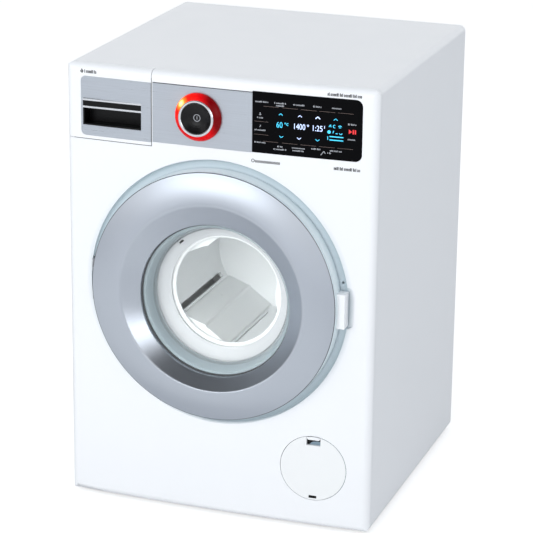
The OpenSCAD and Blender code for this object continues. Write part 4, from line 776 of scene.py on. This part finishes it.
def lit_numbers(cyan, blue):
    """A temperature, a spin speed and a time, with their small units."""
    z = 16.7
    size = 4.6
    cyan.text("60", 15.7, z, size, 0.82)
    cyan.ring(19.0, z + 1.3, 0.35, 0.22, 12)
    cyan.arc(20.4, z + 0.8, 0.6, 50, 310, 0.3, 10)
    blue.text("1400", 27.0, z, size, 0.78)
    blue.ring(32.0, z + 1.2, 0.45, 0.28, 12)
    blue.text("1:25", 37.3, z, size, 0.82)
    blue.bar(41.4, z + 0.4, 41.4, z + 1.9, 0.3)


def lit_icons(cyan, red):
    """Small symbols: an arrow head, curves, a dot and bars, then play and pause."""
    cyan.path([(43.9, 18.3), (44.7, 19.6), (45.1, 18.3)], 0.4)
    cyan.arc(47.0, 18.8, 0.75, 60, 300, 0.35, 10)
    for r, z in ((0.9, 18.5), (0.45, 18.0)):
        cyan.arc(50.1, z, r, 20, 160, 0.4, 8)
    cyan.disc(44.0, 15.5, 0.95, 14)
    cyan.bar(46.2, 15.0, 46.6, 16.4, 0.4)
    cyan.bar(47.7, 14.9, 48.9, 14.9, 0.4)
    cyan.arc(50.6, 15.3, 0.7, 180, 360, 0.35, 8)
    for z in (13.0, 11.1):
        cyan.bar(44.3, z, 52.1, z, 0.55)
    cyan.path([(43.3, 11.1), (43.3, 13.0)], 0.4)
    red.prism([(55.1, 15.3), (55.1, 17.9), (56.9, 16.6)])
    for x in (57.6, 58.8):
        red.bar(x, 15.4, x, 17.8, 0.75)


def key_labels(white):
    """Fine print and small signs that name the keys. Each label has a place, a width and a pattern."""
    above = ((5.4, 7.4), (15.9, 6.6), (26.9, 6.8), (37.3, 5.0), (48.1, 5.4))
    beside = ((20.0, 3.4), (13.0, 6.2), (6.0, 6.4))
    below = ((16.1, 3.0, 7.4), (16.1, 4.6, 3.0), (26.7, 4.7, 7.4), (26.7, 3.2, 6.6), (37.1, 5.2, 6.0),
             (48.1, 5.0, 6.8), (44.3, 3.6, 2.0))
    for i, (x, wide) in enumerate(above):
        lettering(white, x, 29.0, wide, 0.9, i + 1)
    lettering(white, 15.9, 27.6, 4.6, 0.9, 6)
    for i, (z, wide) in enumerate(beside):
        lettering(white, 4.5, z, wide, 0.85, i + 2)
    white.arc(4.5, 22.1, 0.55, 200, 340, 0.4, 8)
    white.bar(4.5, 21.6, 4.5, 23.0, 0.4)
    white.bar(4.3, 14.6, 4.9, 15.8, 0.35)
    for i, (x, z, wide) in enumerate(below):
        lettering(white, x, z, wide, 0.85, i + 3)
    white.path([(39.5, 2.0), (41.3, 4.4), (42.1, 3.0)], 0.4)
    lettering(white, 56.9, 20.7, 4.6, 0.95, 4)
    lettering(white, 56.9, 12.3, 4.6, 0.95, 5)


def key_lines(dim):
    """Faint lines that part the keys."""
    thin = 0.14
    half = 4.4
    for x in (10.7, 21.7, 32.3, 42.9, 53.3):
        for z in (26.6, 6.8):
            dim.bar(x - half, z, x + half, z, thin)
    for z in (17.8, 10.4):
        dim.bar(1.1, z, 9.3, z, thin)


def display_symbols():
    """What the display shows, one piece for each ink."""
    cyan, blue, white, red, dim = (Marks(DISPLAY_CORNER) for _ in range(5))
    lit_arrows(cyan, blue)
    lit_numbers(cyan, blue)
    lit_icons(cyan, red)
    key_labels(white)
    key_lines(dim)
    for name, marks, ink in (("display_cyan", cyan, LIT_CYAN), ("display_white", blue, LIT_BLUE),
                             ("display_labels", white, INK_WHITE), ("display_red", red, LIT_RED),
                             ("display_lines", dim, INK_DIM)):
        marks.done(name, ink, "cabinet", "dark_display")


def seam_shadows():
    """Painted shadow: dark lines deep in the seams above the strip, and beside and below the drawer."""
    strip_steps = 16
    strip_run = (DISPLAY_CORNER[0] - STRIP_LEFT) / strip_steps
    above = 0.25
    strip = Marks((STRIP_LEFT, STRIP_TOP), lift=-0.4)
    for i in range(strip_steps):
        strip.bar(i * strip_run, above, (i + 1) * strip_run, above, 0.4)
    strip.done("strip_seam_shadow", SEAM_SHADOW, "cabinet", "silver_strip")
    left = -47.7
    run = 4
    drawer_steps = 12
    wide = 0.38
    drawer = Marks(DRAWER_CORNER, lift=-0.3)
    drawer.block(0, -0.4, wide, 38.8)
    for i in range(drawer_steps):
        drawer.block(left + i * run, -wide, left + (i + 1) * run, -0.02)
    drawer.done("drawer_seam_shadow", SEAM_SHADOW, "cabinet", "white_body")


def flap_details():
    """The shadow line at the flap's right, and painted shade in its finger notch and slot."""
    top_middle = (FLAP_X, FLAP_TOP)
    low = -2 * FLAP_R
    notch = 4.14
    notch_foot = -5.35
    slot = 2.28
    seam = Marks(top_middle, lift=-0.08)
    seam.arc(0, -FLAP_R, FLAP_R + 0.15, -58, 76, 0.28, 60)
    seam.done("flap_seam_shadow", FLAP_SHADOW, "cabinet", "white_body")
    # painted shade: dark plates in the notch and the slot, and a dark band on the flap below the slot
    dark = Marks(top_middle)
    dark.block(-notch, notch_foot, notch, -0.9, lift=-1.6)
    dark.block(-slot, low + 1.52, slot, low + 2.58, lift=-0.3)
    dark.block(-slot, low + 1.05, slot, low + 1.6)
    dark.done("flap_notch_shade", MATERIALS["black_pocket"], "flap", "black_pocket")
    lip = Marks(top_middle, lift=-0.4)
    lip.prism([(-3.3, -2.1), (3.3, -2.1), (3.9, -1.3), (4.1, -0.6), (0, -0.12), (-4.1, -0.6), (-3.9, -1.3)],
              thick=0.34)
    lip.done("flap_lip", MATERIALS["white_body"], "flap", "white_body")
    # painted shade: a blue-grey plate for the shaded hollow behind the notch
    tab = Marks(top_middle, lift=-1.5)
    tab_foot = notch_foot + 0.01
    tab.prism([(-2.6, tab_foot), (notch, tab_foot), (notch, -3.3), (1.4, -3.2), (-0.6, -3.5), (-1.9, -4.3)])
    tab.done("flap_tab", TAB_SHADE, "flap", "white_inner")


def body_print():
    """Fine grey print above and below the strip: bare strokes, no words."""
    drawer = Marks(DRAWER_CORNER)
    drawer.ring(-42.4, 38.6, 0.62, 0.6, 14)
    drawer.bar(-42.4, 39.3, -42.4, 40.1, 0.5)
    lettering(drawer, -37.1, 38.8, 7.4, 1.9, 2)
    drawer.done("drawer_print", INK_GREY, "drawer", "white_body")
    panel = Marks(DISPLAY_CORNER)
    lettering(panel, 52.6, 36.6, 19.6, 1.8, 3)
    lettering(panel, 9.1, -4.9, 14.6, 1.8, 5)
    panel.ring(0.6, -4.8, 0.85, 0.35, 14)
    lettering(panel, 54.5, -4.7, 14.8, 1.8, 7)
    panel.done("panel_print", INK_GREY, "cabinet", "white_body")


def spring_coil():
    """The button's return spring."""
    front_end = span("button_cap", "y")[1]
    back_end = front_end + 2.4
    coil_r = 2.5
    wire_r = 0.2
    turns = 2.5
    flat_turns = 0.4
    steps = 120
    sides = 10
    start = front_end + wire_r
    stop = back_end - wire_r
    backwards = Vector((0, 1, 0))
    angles = [math.tau * j / sides for j in range(sides)]
    rings = []
    for i in range(steps + 1):
        turn = turns * i / steps
        # the end turns lie flat against the stem and the switch
        share = min(1, max(0, (turn - flat_turns) / (turns - 2 * flat_turns)))
        out = Vector((math.cos(math.tau * turn), 0, math.sin(math.tau * turn)))
        centre = Vector((KNOB_X, start + (stop - start) * share, KNOB_Z)) + out * coil_r
        rings.append([centre + (out * math.cos(a) + backwards * math.sin(a)) * wire_r for a in angles])
    coil = lathe(rings, "spring_coil", MATERIALS["steel"], "button", closed=False,
                 replaced=("button_spring",))
    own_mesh(coil)


# ---- back -------------------------------------------------------------------------------------

HEAD_EDGE = 0.75    # height of a screw head's straight side


def cross_depth(u, v):
    """Depth of a screw's cross recess at a point of its head."""
    half_slot = 0.42
    reach = 1.55
    across, along = sorted((abs(u), abs(v)))
    inside = min(1, max(0, (half_slot - across) / 0.08)) * min(1, max(0, (reach - along) / 0.1))
    return inside * (1.0 - 0.35 * along)


def screw_profile(head_r, shank_r, shank_len):
    """(r, rise) points of a threaded shank and a rounded head, where the rise is 0 at the head's seat."""
    pitch = 0.8
    thread = 0.25
    dome = 0.5
    profile = [(0.05, -shank_len), (shank_r * 0.4, -shank_len)]
    for i in range(int(shank_len / pitch) - 1):
        low = -shank_len + 0.6 + i * pitch
        profile += [(shank_r - thread, low), (shank_r, low + 0.3), (shank_r - thread, low + 0.6)]
    profile += [(shank_r, -0.3), (shank_r, 0), (head_r - 0.1, 0), (head_r, 0.1), (head_r, HEAD_EDGE)]
    shares = (0.98, 0.93, 0.84, 0.74, 0.64, 0.6, 0.56, 0.5, 0.42, 0.34, 0.26, 0.18, 0.1, 0.03)
    return profile + [(head_r * k, HEAD_EDGE + dome * math.sqrt(1 - k * k)) for k in shares]


def screws(name, spots, head_r, shank_r, shank_len, replaced):
    """Pan-head screws with a cross recess and a thread, driven in from the back."""
    around = 72
    seat = BACK_Y - 1.4
    profile = screw_profile(head_r, shank_r, shank_len)
    points = []
    faces = []
    for number, (x, z) in enumerate(spots):
        first = len(points)
        # each screw has stopped at its own angle
        cos, sin = math.cos(0.7 * number), math.sin(0.7 * number)
        for r, rise in profile:
            for j in range(around):
                a = math.tau * j / around
                u, v = r * math.cos(a), r * math.sin(a)
                sunk = cross_depth(u, v) if rise > HEAD_EDGE + 0.01 else 0
                points.append(Vector((x + u * cos - v * sin, seat + rise - sunk, z + u * sin + v * cos)))
        for i in range(len(profile) - 1):
            low = first + i * around
            for j in range(around):
                k = (j + 1) % around
                faces.append((low + j, low + k, low + around + k, low + around + j))
        faces.append(tuple(first + j for j in range(around)))
        faces.append(tuple(len(points) - around + j for j in range(around)))
    piece(name, points, faces, MATERIALS["steel"], "cabinet", smooth=False, replaced=replaced)


def back_fixings():
    """The six screws of the back cover and the one of the battery door."""
    shank_r = 1.1
    head_r = 2.6
    middle_row = 133
    right = span("back_screws", "x")[1] - head_r
    low, high = span("back_screws", "z")
    cover_spots = [(x, z) for x in (-right, right) for z in (low + head_r, middle_row, high - head_r)]
    door_spots = [(0, middle("battery_screw", "z"))]
    screws("back_screw_set", cover_spots, head_r, shank_r, 12, ("back_screws",))
    screws("battery_door_screw", door_spots, 2.4, shank_r, 10, ("battery_screw",))


# ---- stage, in metres -------------------------------------------------------------------------

AMBIENT = (0.55, 0.575, 0.605)
FLOOR_SIZE = 8.0
FLOOR_LIFT = 0.5            # what lifts the lit floor to white, as the camera sees it
CENTRE = (0, 0, 0.13)       # what most of the lamps and cards face


def add_world():
    """Even pale light from all round; the background itself is plain white."""
    world = bpy.data.worlds.new("studio")
    world.use_nodes = True
    bpy.context.scene.world = world
    sky = Tree(world.node_tree)
    seen = sky.rays("Is Camera Ray", "Is Glossy Ray", "Is Transmission Ray")
    sky.link(sky.mix(seen, AMBIENT, (1.0, 1.0, 1.0)), sky.tree.nodes["Background"].inputs["Color"])


def board(name, wide, deep, look):
    """Flat rectangle of the stage about the origin."""
    a = wide / 2
    b = deep / 2
    mesh = bpy.data.meshes.new(name)
    mesh.from_pydata([(-a, -b, 0), (a, -b, 0), (a, b, 0), (-a, b, 0)], [], [(0, 1, 2, 3)])
    mesh.materials.append(look.material)
    obj = bpy.data.objects.new(name, mesh)
    bpy.context.scene.collection.objects.link(obj)
    return obj


def aim(obj, place, target):
    """Puts a lamp or a card in its place, facing a point."""
    obj.location = place
    obj.rotation_euler = (Vector(target) - Vector(place)).to_track_quat("-Z", "Y").to_euler()


def add_floor():
    """Pale floor that keeps the shadow; its lit part is seen as white, and glossy faces mirror it darker."""
    look = Surface("floor")
    look.set(Roughness=0.9, Specular_IOR_Level=0.1, Emission_Color=(FLOOR_LIFT, FLOOR_LIFT, FLOOR_LIFT, 1))
    look.feed(Base_Color=look.mix(look.rays("Is Glossy Ray"), (0.8, 0.8, 0.8), (0.62, 0.63, 0.65)),
              Emission_Strength=look.rays("Is Camera Ray", "Is Transmission Ray"))
    board("floor", FLOOR_SIZE, FLOOR_SIZE, look)


def add_card(name, place, target, size, level):
    """Board that only mirror-like faces see."""
    look = Surface(name)
    look.set(Base_Color=(0, 0, 0, 1), Roughness=1.0, Specular_IOR_Level=0.0,
             Emission_Color=(0.94, 0.97, 1.0, 1), Emission_Strength=level)
    card = board(name, *size, look)
    aim(card, place, target)
    card.visible_camera = card.visible_diffuse = card.visible_shadow = card.visible_transmission = False


def add_lamp(name, place, target, size, power, mirrored=True):
    """Soft rectangular lamp."""
    data = bpy.data.lights.new(name, "AREA")
    data.shape = "RECTANGLE"
    data.size, data.size_y = size
    data.energy = power
    lamp = bpy.data.objects.new(name, data)
    aim(lamp, place, target)
    lamp.visible_glossy = mirrored
    bpy.context.scene.collection.objects.link(lamp)


def add_lights():
    """Lamps light the object. Cards shape what its silver and glossy faces mirror."""
    add_lamp("key", (-0.6, -1.75, 0.9), CENTRE, (1.1, 0.8), 12.0, mirrored=False)
    add_lamp("front", (0.25, -1.75, 0.55), CENTRE, (0.7, 0.7), 6, mirrored=False)
    add_lamp("side", (1.9, 0.35, 0.5), CENTRE, (1.0, 0.8), 5.6)
    add_lamp("top", (-0.1, 0.1, 1.9), CENTRE, (1.2, 1.2), 2.05)
    add_card("glint", (1.05, -0.85, 0.5), CENTRE, (0.42, 0.5), 3.3)
    add_card("dark", (-0.3, -0.35, 1.25), (-0.3, -0.35, 0.13), (3.0, 2.0), 0.02)
    add_card("dark_left", (-1.6, -0.15, 0.68), (0, -0.15, 0.68), (1.4, 1.3), 0.06)
    add_card("low_left", (-0.75, 0.03, 0.003), (-0.75, 0.03, 1.0), (1.1, 0.56), 0.28)
    add_card("low_front", (-0.21, -0.335, 0.003), (-0.21, -0.335, 1.0), (0.66, 0.34), 0.86)
    add_card("band", (-0.64, -1.85, 0.52), CENTRE, (1.05, 0.32), 3.9)
    add_card("dark_front", (-0.26, -1.54, 0.98), CENTRE, (1.8, 0.8), 0.2)
    add_card("low", (0.42, -0.42, 0.004), (0.42, -0.42, 1.0), (0.55, 0.4), 0.8)


# ---- all together -----------------------------------------------------------------------------

def main():
    add_camera()
    paint_frame()
    door_ring()
    window_cup()
    seam_shadows()
    flap_details()
    power_mark()
    spring_coil()
    display_symbols()
    body_print()
    back_fixings()
    add_world()
    add_floor()
    add_lights()
    bpy.context.scene.view_settings.view_transform = "Standard"


main()
